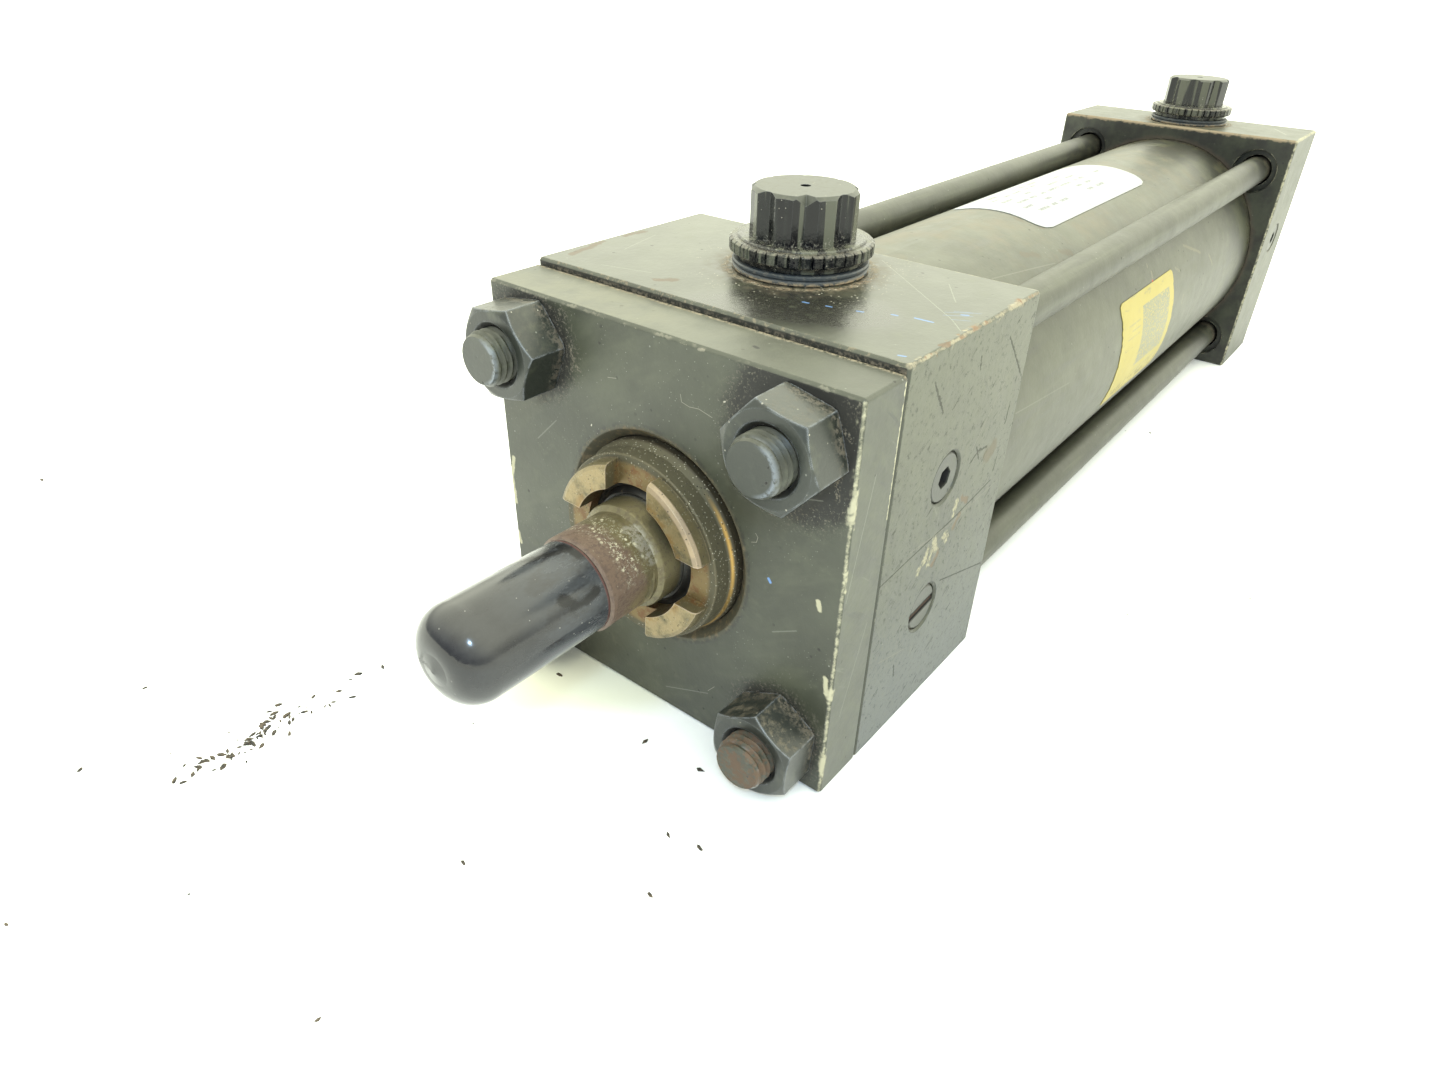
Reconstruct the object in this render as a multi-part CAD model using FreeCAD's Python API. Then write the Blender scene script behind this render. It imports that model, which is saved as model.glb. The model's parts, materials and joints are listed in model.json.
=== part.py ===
"""Tie-rod pneumatic cylinder, 50.8 mm bore, with cushions, port plugs and a rod-thread protector.

Millimetres.  The origin is where the rod axis meets the front face of the retainer plate.
+X points out of the rod end, +Z points up through the ports, +Y is the side of the cushion needles.
"""
import FreeCAD, Part
import math
import os

INCH = 25.4

# Blocks.
block_side = 2.5 * INCH
block_rise = 0.5                      # the head and cap blocks sit this much above the rod axis
head_length = 1.5 * INCH
cap_length = 1.0 * INCH
plate_thickness = 0.375 * INCH
plate_height = 62.4
edge_break = 0.4

# Tube.
tube_outer_r = 1.125 * INCH
tube_inner_r = 1.0 * INCH
tube_visible_length = 172.0
tube_seat_depth = 2.4
tube_seal_thickness = 0.85
tube_groove_gap = 0.075
tube_seal_gap = 0.05

# Tie rods and their nuts.
tie_rod_offset = 23.5                 # each tie rod stands this far from the rod axis in Y and in Z
tie_rod_shank_r = 3.6
tie_rod_thread_r = 3.97
tie_rod_hole_r = 4.1
tie_rod_thread_depth = 8.0            # the rolled thread runs this far into each block
tie_rod_thread_run_out = 0.4
tie_rod_stick_out = 2.85              # beyond the nut
tie_rod_end_r = 3.44
tie_rod_end_chamfer = 0.9
cap_recess_r = 5.6
cap_recess_depth = 1.5
nut_across_flats = 0.5 * INCH
nut_height = 6.75
nut_bore_r = 4.0
nut_countersink_r = 4.75
nut_front_circle_r = 6.25
nut_back_circle_r = 6.95
nut_corner_angles = {(-1, 1): 9.0, (1, 1): 48.5, (1, -1): 27.0, (-1, -1): 40.0}

# Gland cartridge.
gland_thread_r = 15.05
gland_thread_bore_r = 15.15
gland_thread_end = -14.0
gland_pilot_r = 14.3
gland_pilot_bore_r = 14.35
gland_inner_end = -23.8
pilot_chamfer = 0.5
gland_collar_r = 14.35
gland_collar_front = 3.5
gland_crown_r = 13.65
gland_crown_front = 6.0
gland_edge = 0.15                     # broken edges of the collar and thread
gland_flare = 0.12                    # the collar widens this much towards the thread
gland_flare_end = 0.9
gland_relief = 0.2                    # the block's bores run this far past the gland
gland_crown_chamfer = 0.8
gland_slot_width = 7.6
gland_slot_turn = -2.0
gland_mouth_r = 9.9
gland_mouth_end = -2.5
gland_plate_chamfer_r = 16.6
lip_seal_start = -13.0
lip_seal_end = -8.0
lip_seal_groove_r = 10.9
o_ring_start = -20.4
o_ring_end = -18.2
o_ring_groove_r = 12.6
seal_gap = 0.05
lip_gap = 0.04                        # rod seals stand this far off the rod
seal_end_gap = 0.1
lip_seal_lip = 0.6
lip_seal_depth = 2.2
wiper_heel_r = 8.7
wiper_heel_end = 0.6
wiper_lip_start = 2.3
wiper_lip_end = 3.0
wiper_lip_r = 8.35
wiper_shoulder_r = 9.1
wiper_edge = 1.9

# Rod, piston and cushions.
rod_r = 0.3125 * INCH
rod_bore_r = 8.0
rod_shoulder_x = 6.3
rod_neck_r = 7.1
rod_neck_start = 7.1
rod_neck_end = 15.5
rod_neck_across_flats = 0.5 * INCH
rod_flat_turn = -20.0
rod_flat_margin = 0.7                 # the flats stop this far short of the neck's ends
rod_neck_chamfer = 0.35
rod_thread_run_out = 0.6
rod_end_chamfer = 0.8
rod_thread_r = 0.21875 * INCH
rod_thread_length = 0.75 * INCH
rod_tail_r = 0.25 * INCH
rod_tail_bore_r = 6.4
piston_length = 29.0
piston_r = 25.3
piston_chamfer = 1.0
piston_end_gap = 0.1
piston_seal_r = 25.36
piston_seal_width = 4.5
piston_seal_groove_r = 21.5
piston_seal_lip = 0.8
piston_seal_heel = 0.3                # broken heel edge, and how far the U's root stands from the middle
piston_seal_spacing = 18.0
wear_ring_width = 6.0
wear_ring_groove_r = 23.5
front_cushion_r = 11.1
front_cushion_length = 21.0
rear_cushion_r = 9.5
rear_cushion_length = 16.0
cushion_nose = 1.5
cushion_gap = 0.03                    # the front sleeve slides on the rod with this gap
cushion_seal_gap = 0.06
rod_tail_length = 12.5                # behind the piston, inside the rear cushion spear
head_chamber_r = 11.4
cap_chamber_r = 9.7
cap_chamber_depth = 18.4
cushion_seal_length = 2.4
cushion_seal_setback = 0.6
cushion_seal_wall = 2.3

# Vinyl protector on the rod thread.
protector_mouth_x = 15.95
protector_tip_x = 38.7
protector_r = 6.8
protector_mouth_r = 6.7
protector_wall = 1.2
protector_corner_r = 4.6
protector_tip_rise = 0.35
protector_bore_r = 5.6

# Ports and their plastic plugs.
head_port_x = -32.9
cap_port_x = -232.0
port_r = 8.6
head_port_floor = 9.0
cap_port_floor = 5.0
plug_thread_r = 8.5
plug_thread_length = 10.0
plug_thread_chamfer = 1.0
plug_ring_r = 10.2
plug_ring_height = 1.5
plug_ring_groove = 0.25
plug_ring_gap = 0.03
plug_ring_edge = 0.2
plug_neck_r = 9.4
plug_flange_bottom = 2.5
plug_flange_top = 4.5
plug_flange_r = 10.7
plug_knurl_count = 40
plug_knurl_turn = 2.0
plug_knurl_depth = 0.45
plug_knurl_half_tooth = 0.38          # share of a knurl's pitch from its middle to its edge
plug_flange_edge = 0.4
plug_collar_top = 4.8                 # the flange's middle stands above its knurled rim
plug_collar_r = 9.5
plug_collar_edge = 0.2
plug_head_top = 11.6
plug_head_r = 7.95
plug_valley_r = 7.0
plug_point_count = 8
plug_facet_half_angle = 9.3
head_plug_turn = 13.0                 # where each plug's points stand, from +X towards +Y
cap_plug_turn = 29.0
plug_head_chamfer = 0.5
plug_gate_r = 0.8
plug_gate_depth = 0.4
plug_nick_start_r = 5.7               # the head plug's nick runs down and out from here
plug_nick_end_r = 8.3
plug_nick_depth = 2.8
plug_nick_half_width = 2.3

# Cushion needles and check valves, all bored square to the side faces.
head_needle_x = -25.4
head_needle_z = 10.9
cap_needle_x = -232.3
cap_needle_z = 4.6
head_check_x = -25.3
check_z = -11.5
cap_check_x = -232.3
needle_bore_r = 3.95
needle_r = 3.88
needle_bore_floor = 16.0
needle_body_end = 19.0
needle_tip_end = 14.5
needle_tip_r = 1.1
needle_groove_outer = 26.5
needle_groove_inner = 24.3
needle_groove_r = 2.9
needle_socket_across_flats = 3.0
needle_socket_depth = 3.0
needle_socket_turn = 12.0
needle_tip_length = 2.3
needle_body_chamfer = 0.5
check_bore_r = 3.85
check_plug_r = 3.78
check_bore_floor = 17.0
check_plug_inner = 26.0
check_slot_width = 1.0
check_slot_depth = 1.2
check_slot_turn = 5.0
check_ball_r = 2.0
screw_setback = 0.2
screw_chamfer = 0.3
orifice_r = 1.3
passage_y = 20.0
head_orifice_end = 2.0                # the head's metering orifice ends inside the rod chamber
cap_orifice_end = 7.0

# Labels on the tube: start, end and sweep angles from straight up towards +Y.
label_thickness = 0.12
label_gap = 0.01
white_label_x = (-166.0, -103.0)
white_label_angles = (-22.0, 22.0)
yellow_label_x = (-148.0, -113.0)
yellow_label_angles = (64.0, 110.0)

# Stations along the rod axis.
head_front = -plate_thickness
head_back = head_front - head_length
cap_front = head_back - tube_visible_length
cap_back = cap_front - cap_length
block_top = block_side / 2 + block_rise
piston_back = cap_front + piston_end_gap
piston_front = piston_back + piston_length
seat_depth = tube_seat_depth + tube_seal_thickness + tube_seal_gap
corner_signs = [(-1, 1), (1, 1), (1, -1), (-1, -1)]

X_AXIS = FreeCAD.Vector(1, 0, 0)
Y_AXIS = FreeCAD.Vector(0, 1, 0)
Z_AXIS = FreeCAD.Vector(0, 0, 1)
ORIGIN = FreeCAD.Vector(0, 0, 0)


def save(name, shape):
    """Write one node and say how large it is."""
    shape.exportStep("parts/" + name + ".step")
    print(name, "solids", len(shape.Solids), "volume", round(shape.Volume, 2), "valid", shape.isValid())


def turned(profile, y=0.0, z=0.0):
    """Revolve a closed (x, r) outline about an axis along X through (y, z)."""
    points = [FreeCAD.Vector(x, r, 0) for x, r in profile]
    face = Part.Face(Part.makePolygon(points + points[:1]))
    solid = face.revolve(ORIGIN, X_AXIS, 360)
    solid.translate(FreeCAD.Vector(0, y, z))
    return solid


def turned_upright(profile, x, z):
    """Revolve a closed (height, r) outline about a vertical axis, with height 0 at z."""
    solid = turned(profile)
    solid.rotate(ORIGIN, Y_AXIS, -90)
    solid.translate(FreeCAD.Vector(x, 0, z))
    return solid


def turned_sideways(profile, x, z, side):
    """Revolve a closed (reach, r) outline about an axis along Y; reach grows towards side * Y."""
    solid = turned(profile)
    solid.rotate(ORIGIN, Z_AXIS, 90 * side)
    solid.translate(FreeCAD.Vector(x, 0, z))
    return solid


def x_cylinder(start, end, radius, y=0.0, z=0.0):
    return Part.makeCylinder(radius, end - start, FreeCAD.Vector(start, y, z), X_AXIS)


def ring(start, end, inner_r, outer_r):
    return x_cylinder(start, end, outer_r).cut(x_cylinder(start - 1, end + 1, inner_r))


def regular_prism(corner_count, across_flats, start, end, turn=0.0):
    """Prism along X on the X axis, with its first corner turned from +Y towards +Z."""
    corner_r = across_flats / 2 / math.cos(math.pi / corner_count)
    points = []
    for index in range(corner_count + 1):
        angle = math.radians(turn + 360.0 * index / corner_count)
        points.append(FreeCAD.Vector(start, corner_r * math.cos(angle), corner_r * math.sin(angle)))
    return Part.Face(Part.makePolygon(points)).extrude(FreeCAD.Vector(end - start, 0, 0))


def block(start, end, height, centre_z):
    """Square-sawn bar with its twelve edges broken."""
    corner = FreeCAD.Vector(start, -block_side / 2, centre_z - height / 2)
    body = Part.makeBox(end - start, block_side, height, corner)
    return body.makeChamfer(edge_break, body.Edges)


def tie_rod_holes(start, end, radius):
    holes = []
    for y_sign, z_sign in corner_signs:
        holes.append(x_cylinder(start, end, radius, y_sign * tie_rod_offset, z_sign * tie_rod_offset))
    return holes


def tube_groove(face_x, direction):
    """Annular seat for one end of the tube, cut from face_x in the given direction."""
    start, end = sorted((face_x - direction, face_x + direction * seat_depth))
    return ring(start, end, tube_inner_r - tube_groove_gap, tube_outer_r + tube_groove_gap)


def side_bore(x, z, radius, floor, side):
    """Bore from the side face to its floor, with a broken edge at the mouth."""
    mouth = block_side / 2
    outline = [(floor, 0), (floor, radius), (mouth - screw_chamfer, radius)]
    outline += [(mouth + 1, radius + screw_chamfer + 1), (mouth + 1, 0)]
    return turned_sideways(outline, x, z, side)


def needle_cuts(x, z, passage_end, orifice_end):
    """Needle bore, its metering orifice, and the passage to the tube."""
    start, end = sorted((x, passage_end))
    orifice_length = needle_bore_floor - orifice_end + 1
    orifice_start = FreeCAD.Vector(x, orifice_end, z)
    return [
        side_bore(x, z, needle_bore_r, needle_bore_floor, 1),
        Part.makeCylinder(orifice_r, orifice_length, orifice_start, Y_AXIS),
        x_cylinder(start, end, orifice_r, passage_y, z),
    ]


def check_cuts(x, passage_end, chamber_r, side):
    """Check-valve bore, a sloping hole to the cushion chamber, and the passage to the tube."""
    start, end = sorted((x, passage_end))
    seat = FreeCAD.Vector(x, side * (check_bore_floor + 0.5), check_z)
    inward = FreeCAD.Vector(0, -seat.y, -check_z)
    length = inward.Length - chamber_r + 1.5
    return [
        side_bore(x, check_z, check_bore_r, check_bore_floor, side),
        Part.makeCylinder(orifice_r, length, seat, inward),
        x_cylinder(start, end, orifice_r, side * passage_y, check_z),
    ]


def make_retainer_plate():
    body = block(head_front, 0, plate_height, 0)
    bore = x_cylinder(head_front - 1, 1, gland_thread_bore_r)
    chamfer_depth = gland_plate_chamfer_r - gland_thread_bore_r
    outline = [(-chamfer_depth, 0), (-chamfer_depth, gland_thread_bore_r)]
    outline += [(1, gland_plate_chamfer_r + 1), (1, 0)]
    return body.cut([bore, turned(outline)] + tie_rod_holes(head_front - 1, 1, tie_rod_hole_r))


def make_head_block():
    body = block(head_back, head_front, block_side, block_rise)
    seal_start = head_back + cushion_seal_setback
    seal_end = seal_start + cushion_seal_length
    port_length = block_top + 1 - head_port_floor
    cuts = [
        x_cylinder(gland_thread_end - gland_relief, head_front + 1, gland_thread_bore_r),
        x_cylinder(gland_inner_end - gland_relief, gland_thread_end, gland_pilot_bore_r),
        x_cylinder(head_back - 1, gland_inner_end, head_chamber_r),
        x_cylinder(seal_start, seal_end, front_cushion_r + cushion_seal_wall + seal_gap),
        Part.makeCylinder(port_r, port_length, FreeCAD.Vector(head_port_x, 0, head_port_floor), Z_AXIS),
        tube_groove(head_back, 1),
    ]
    cuts += tie_rod_holes(head_back - 1, head_front + 1, tie_rod_hole_r)
    cuts += needle_cuts(head_needle_x, head_needle_z, head_back - 1, head_orifice_end)
    cuts += check_cuts(head_check_x, head_back - 1, head_chamber_r, 1)
    return body.cut(cuts)


def make_cap_block():
    body = block(cap_back, cap_front, block_side, block_rise)
    seal_end = cap_front - cushion_seal_setback
    seal_start = seal_end - cushion_seal_length
    port_length = block_top + 1 - cap_port_floor
    cuts = [
        x_cylinder(cap_front - cap_chamber_depth, cap_front + 1, cap_chamber_r),
        x_cylinder(seal_start, seal_end, rear_cushion_r + cushion_seal_wall + seal_gap),
        Part.makeCylinder(port_r, port_length, FreeCAD.Vector(cap_port_x, 0, cap_port_floor), Z_AXIS),
        tube_groove(cap_front, -1),
    ]
    cuts += tie_rod_holes(cap_back - 1, cap_front + 1, tie_rod_hole_r)
    cuts += tie_rod_holes(cap_front - cap_recess_depth, cap_front + 1, cap_recess_r)
    cuts += needle_cuts(cap_needle_x, cap_needle_z, cap_front + 1, cap_orifice_end)
    cuts += check_cuts(cap_check_x, cap_front + 1, cap_chamber_r, -1)
    return body.cut(cuts)


def make_gland():
    """Threaded bronze cartridge with a castellated crown for a spanner."""
    crown_corner = gland_crown_chamfer * 0.3
    outline = [
        (gland_inner_end, rod_bore_r),
        (gland_inner_end, gland_pilot_r - pilot_chamfer),
        (gland_inner_end + pilot_chamfer, gland_pilot_r),
        (gland_thread_end, gland_pilot_r),
        (gland_thread_end, gland_thread_r),
        (-2 * gland_edge, gland_thread_r),
        (0.0, gland_thread_r - gland_edge),
        (gland_flare_end, gland_collar_r + gland_flare),
        (gland_collar_front - gland_edge, gland_collar_r),
        (gland_collar_front, gland_collar_r - gland_edge),
        (gland_collar_front, gland_crown_r),
        (gland_crown_front - gland_crown_chamfer, gland_crown_r),
        (gland_crown_front - crown_corner, gland_crown_r - crown_corner),
        (gland_crown_front, gland_crown_r - gland_crown_chamfer),
        (gland_crown_front, gland_mouth_r),
        (gland_mouth_end, gland_mouth_r),
        (gland_mouth_end, rod_bore_r),
    ]
    cuts = [
        ring(o_ring_start, o_ring_end, o_ring_groove_r, gland_thread_r + 1),
        x_cylinder(lip_seal_start, lip_seal_end, lip_seal_groove_r),
    ]
    for quarter in range(4):
        corner = FreeCAD.Vector(gland_collar_front, -gland_slot_width / 2, gland_mouth_r / 2)
        slot = Part.makeBox(gland_crown_front, gland_slot_width, gland_crown_r, corner)
        slot.rotate(ORIGIN, X_AXIS, gland_slot_turn + 90 * quarter)
        cuts.append(slot)
    return turned(outline).cut(cuts)


def make_rod_wiper():
    """Rubber scraper in the gland's mouth, with a lip that leans on the rod."""
    outer = gland_mouth_r - seal_gap
    lip_r = rod_r + lip_gap
    heel = gland_mouth_end + 2 * seal_gap
    return turned([
        (heel, outer),
        (heel, wiper_heel_r),
        (wiper_heel_end, wiper_heel_r),
        (wiper_lip_start, lip_r),
        (wiper_lip_end, lip_r),
        (wiper_lip_end + 0.1, wiper_lip_r),
        (wiper_lip_start - 0.1, wiper_shoulder_r),
        (wiper_edge, outer),
    ])


def make_rod_lip_seal():
    """U-section seal that opens towards the pressure side."""
    start = lip_seal_start + seal_end_gap
    end = lip_seal_end - seal_end_gap
    inner = rod_r + lip_gap
    outer = lip_seal_groove_r - seal_gap
    middle = (inner + outer) / 2
    outline = [(end, inner), (end, outer), (start, outer), (start, outer - lip_seal_lip)]
    outline += [(start + lip_seal_depth, middle), (start, inner + lip_seal_lip), (start, inner)]
    return turned(outline)


def make_gland_o_ring():
    minor_r = (gland_pilot_r - o_ring_groove_r) / 2 - 0.03
    centre = FreeCAD.Vector((o_ring_start + o_ring_end) / 2, 0, 0)
    return Part.makeTorus(o_ring_groove_r + minor_r + 0.05, minor_r, centre, X_AXIS)


def make_tube():
    return ring(cap_front - tube_seat_depth, head_back + tube_seat_depth, tube_inner_r, tube_outer_r)


def make_tube_seal(end_x, direction):
    start, end = sorted((end_x, end_x + direction * tube_seal_thickness))
    return ring(start, end, tube_inner_r + tube_seal_gap, tube_outer_r - tube_seal_gap)


def make_tie_rod(y_sign, z_sign):
    """Rod with rolled threads, so its ends are thicker than its shank."""
    front = nut_height + tie_rod_stick_out
    back = cap_back - nut_height - tie_rod_stick_out
    front_step = head_front - tie_rod_thread_depth
    back_step = cap_front - tie_rod_thread_depth
    outline = [
        (back, 0),
        (back, tie_rod_end_r),
        (back + tie_rod_end_chamfer, tie_rod_thread_r),
        (back_step, tie_rod_thread_r),
        (back_step + tie_rod_thread_run_out, tie_rod_shank_r),
        (front_step - tie_rod_thread_run_out, tie_rod_shank_r),
        (front_step, tie_rod_thread_r),
        (front - tie_rod_end_chamfer, tie_rod_thread_r),
        (front, tie_rod_end_r),
        (front, 0),
    ]
    return turned(outline, y_sign * tie_rod_offset, z_sign * tie_rod_offset)


def make_nut(seat_x, direction, y_sign, z_sign):
    """Hexagon nut seated at seat_x, chamfered on both faces and countersunk outside."""
    corner_r = nut_across_flats / 2 / math.cos(math.radians(30)) + 0.1
    slope = math.tan(math.radians(30))
    front_drop = (corner_r - nut_front_circle_r) * slope
    back_drop = (corner_r - nut_back_circle_r) * slope
    body = regular_prism(6, nut_across_flats, 0, nut_height, nut_corner_angles[(y_sign, z_sign)])
    rounding = turned([
        (0, 0),
        (0, nut_back_circle_r),
        (back_drop, corner_r),
        (nut_height - front_drop, corner_r),
        (nut_height, nut_front_circle_r),
        (nut_height, 0),
    ])
    countersink_depth = nut_countersink_r - nut_bore_r
    bore = turned([
        (-1, 0),
        (-1, nut_bore_r),
        (nut_height - countersink_depth, nut_bore_r),
        (nut_height + 1, nut_countersink_r + 1),
        (nut_height + 1, 0),
    ])
    nut = body.common(rounding).cut(bore)
    if direction < 0:
        nut.rotate(ORIGIN, Z_AXIS, 180)
    nut.translate(FreeCAD.Vector(seat_x, y_sign * tie_rod_offset, z_sign * tie_rod_offset))
    return nut


def make_nuts(seat_x, direction):
    return Part.makeCompound([make_nut(seat_x, direction, y, z) for y, z in corner_signs])


def make_cushion_seal(start, inner_r):
    return ring(start + seal_gap, start + cushion_seal_length - seal_gap, inner_r + cushion_seal_gap,
                inner_r + cushion_seal_wall)


def make_piston_rod():
    """Rod with a necked and threaded front end and a tail that holds the piston."""
    tail_end = piston_back - rod_tail_length
    thread_start = rod_neck_end + rod_neck_chamfer
    thread_end = thread_start + rod_thread_length
    outline = [
        (tail_end, 0),
        (tail_end, rod_tail_r - rod_end_chamfer),
        (tail_end + rod_end_chamfer, rod_tail_r),
        (piston_front, rod_tail_r),
        (piston_front, rod_r),
        (rod_shoulder_x, rod_r),
        (rod_neck_start, rod_neck_r),
        (rod_neck_end, rod_neck_r),
        (thread_start, rod_neck_r - rod_neck_chamfer),
        (thread_start, rod_thread_r - rod_thread_run_out),
        (thread_start + rod_thread_run_out, rod_thread_r),
        (thread_end - rod_end_chamfer, rod_thread_r),
        (thread_end, rod_thread_r - rod_end_chamfer),
        (thread_end, 0),
    ]
    cuts = []
    for half_turn in (0, 180):
        corner = FreeCAD.Vector(rod_neck_start + rod_flat_margin, rod_neck_across_flats / 2, -rod_r)
        flat = Part.makeBox(rod_neck_end - rod_neck_start - 2 * rod_flat_margin, rod_r, 2 * rod_r, corner)
        flat.rotate(ORIGIN, X_AXIS, rod_flat_turn + half_turn)
        cuts.append(flat)
    return turned(outline).cut(cuts)


def piston_groove_starts():
    """Back ends of the two seal grooves and of the wear-ring groove between them."""
    middle = (piston_back + piston_front) / 2
    front_seal = middle + piston_seal_spacing / 2 - piston_seal_width / 2
    rear_seal = middle - piston_seal_spacing / 2 - piston_seal_width / 2
    return front_seal, rear_seal, middle - wear_ring_width / 2


def make_piston():
    front_seal, rear_seal, wear_ring = piston_groove_starts()
    body = turned([
        (piston_back, rod_tail_bore_r),
        (piston_back, piston_r - piston_chamfer),
        (piston_back + piston_chamfer, piston_r),
        (piston_front - piston_chamfer, piston_r),
        (piston_front, piston_r - piston_chamfer),
        (piston_front, rod_tail_bore_r),
    ])
    return body.cut([
        ring(front_seal, front_seal + piston_seal_width, piston_seal_groove_r, piston_r + 1),
        ring(rear_seal, rear_seal + piston_seal_width, piston_seal_groove_r, piston_r + 1),
        ring(wear_ring, wear_ring + wear_ring_width, wear_ring_groove_r, piston_r + 1),
    ])


def make_piston_seal(start, opens):
    """U-section piston seal whose lips open towards opens * X."""
    half_width = piston_seal_width / 2 - seal_gap
    middle_x = start + piston_seal_width / 2
    inner = piston_seal_groove_r + seal_gap
    outer = piston_seal_r
    middle_r = (inner + outer) / 2
    tip = middle_x + opens * half_width
    heel = middle_x - opens * half_width
    root = middle_x - opens * piston_seal_heel
    outline = [(heel, inner), (heel, outer - piston_seal_heel)]
    outline += [(heel + opens * piston_seal_lip, outer), (tip, outer)]
    outline += [(tip, outer - piston_seal_lip), (root, middle_r)]
    outline += [(tip, inner + piston_seal_lip), (tip, inner)]
    return turned(outline)


def make_wear_ring(start):
    return ring(start + seal_gap, start + wear_ring_width - seal_gap, wear_ring_groove_r + seal_gap,
                piston_seal_r)


def make_front_cushion_sleeve():
    nose = piston_front + front_cushion_length
    bore_r = rod_r + cushion_gap
    return turned([
        (piston_front, bore_r),
        (piston_front, front_cushion_r),
        (nose - cushion_nose * 2, front_cushion_r),
        (nose, front_cushion_r - cushion_nose * 0.6),
        (nose, bore_r),
    ])


def make_rear_cushion_spear():
    """Threaded nut that clamps the piston and enters the cap's chamber."""
    nose = piston_back - rear_cushion_length
    floor = piston_back - rod_tail_length - 0.2
    return turned([
        (piston_back, rod_tail_bore_r),
        (piston_back, rear_cushion_r),
        (nose + cushion_nose * 2, rear_cushion_r),
        (nose, rear_cushion_r - cushion_nose),
        (nose, 0),
        (floor, 0),
        (floor, rod_tail_bore_r),
    ])


def make_thread_protector():
    """Dipped vinyl cap: a slightly swelling tube with a rounded end that rises to a low point."""
    corner_centre = FreeCAD.Vector(protector_tip_x - protector_corner_r - protector_tip_rise,
                                   protector_r - protector_corner_r, 0)
    shoulder = FreeCAD.Vector(corner_centre.x, protector_r, 0)
    diagonal = protector_corner_r * math.sqrt(0.5)
    corner_middle = corner_centre + FreeCAD.Vector(diagonal, diagonal, 0)
    corner_end = corner_centre + FreeCAD.Vector(protector_corner_r, 0, 0)
    tip = FreeCAD.Vector(protector_tip_x, 0, 0)
    mouth_outer = FreeCAD.Vector(protector_mouth_x, protector_mouth_r, 0)
    mouth_inner = FreeCAD.Vector(protector_mouth_x, protector_bore_r, 0)
    bore_corner = FreeCAD.Vector(protector_tip_x - protector_wall * 2, protector_bore_r, 0)
    bore_floor = FreeCAD.Vector(bore_corner.x, 0, 0)
    edges = [
        Part.LineSegment(mouth_inner, mouth_outer).toShape(),
        Part.LineSegment(mouth_outer, shoulder).toShape(),
        Part.Arc(shoulder, corner_middle, corner_end).toShape(),
        Part.LineSegment(corner_end, tip).toShape(),
        Part.LineSegment(tip, bore_floor).toShape(),
        Part.LineSegment(bore_floor, bore_corner).toShape(),
        Part.LineSegment(bore_corner, mouth_inner).toShape(),
    ]
    return Part.Face(Part.Wire(edges)).revolve(ORIGIN, X_AXIS, 360)


def upright_prism(outline, x, bottom, height):
    """Extrude a closed list of (radius, angle in degrees) corners about a vertical axis."""
    points = []
    for radius, angle in outline + outline[:1]:
        turn = math.radians(angle)
        points.append(FreeCAD.Vector(x + radius * math.cos(turn), radius * math.sin(turn), bottom))
    return Part.Face(Part.makePolygon(points)).extrude(FreeCAD.Vector(0, 0, height))


def nick_cut(x, turn):
    """Wedge that takes a V-shaped nick out of one valley at the top of a plug's head."""
    top = block_top + plug_head_top
    low = FreeCAD.Vector(plug_nick_end_r, 0, top - plug_nick_depth)
    corners = [
        FreeCAD.Vector(plug_nick_start_r, 0, top),
        FreeCAD.Vector(plug_nick_end_r, -plug_nick_half_width, top),
        FreeCAD.Vector(plug_nick_end_r, plug_nick_half_width, top),
    ]
    start, right, left = (low + (corner - low) * 1.3 for corner in corners)   # past the top face
    faces = []
    for loop in ((start, right, low), (start, low, left), (start, left, right), (right, left, low)):
        faces.append(Part.Face(Part.makePolygon(list(loop) + [loop[0]])))
    wedge = Part.Solid(Part.Shell(faces))
    if wedge.Volume < 0:
        wedge.reverse()
    wedge.rotate(FreeCAD.Vector(), Z_AXIS, turn)
    wedge.translate(FreeCAD.Vector(x, 0, 0))
    return wedge


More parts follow.
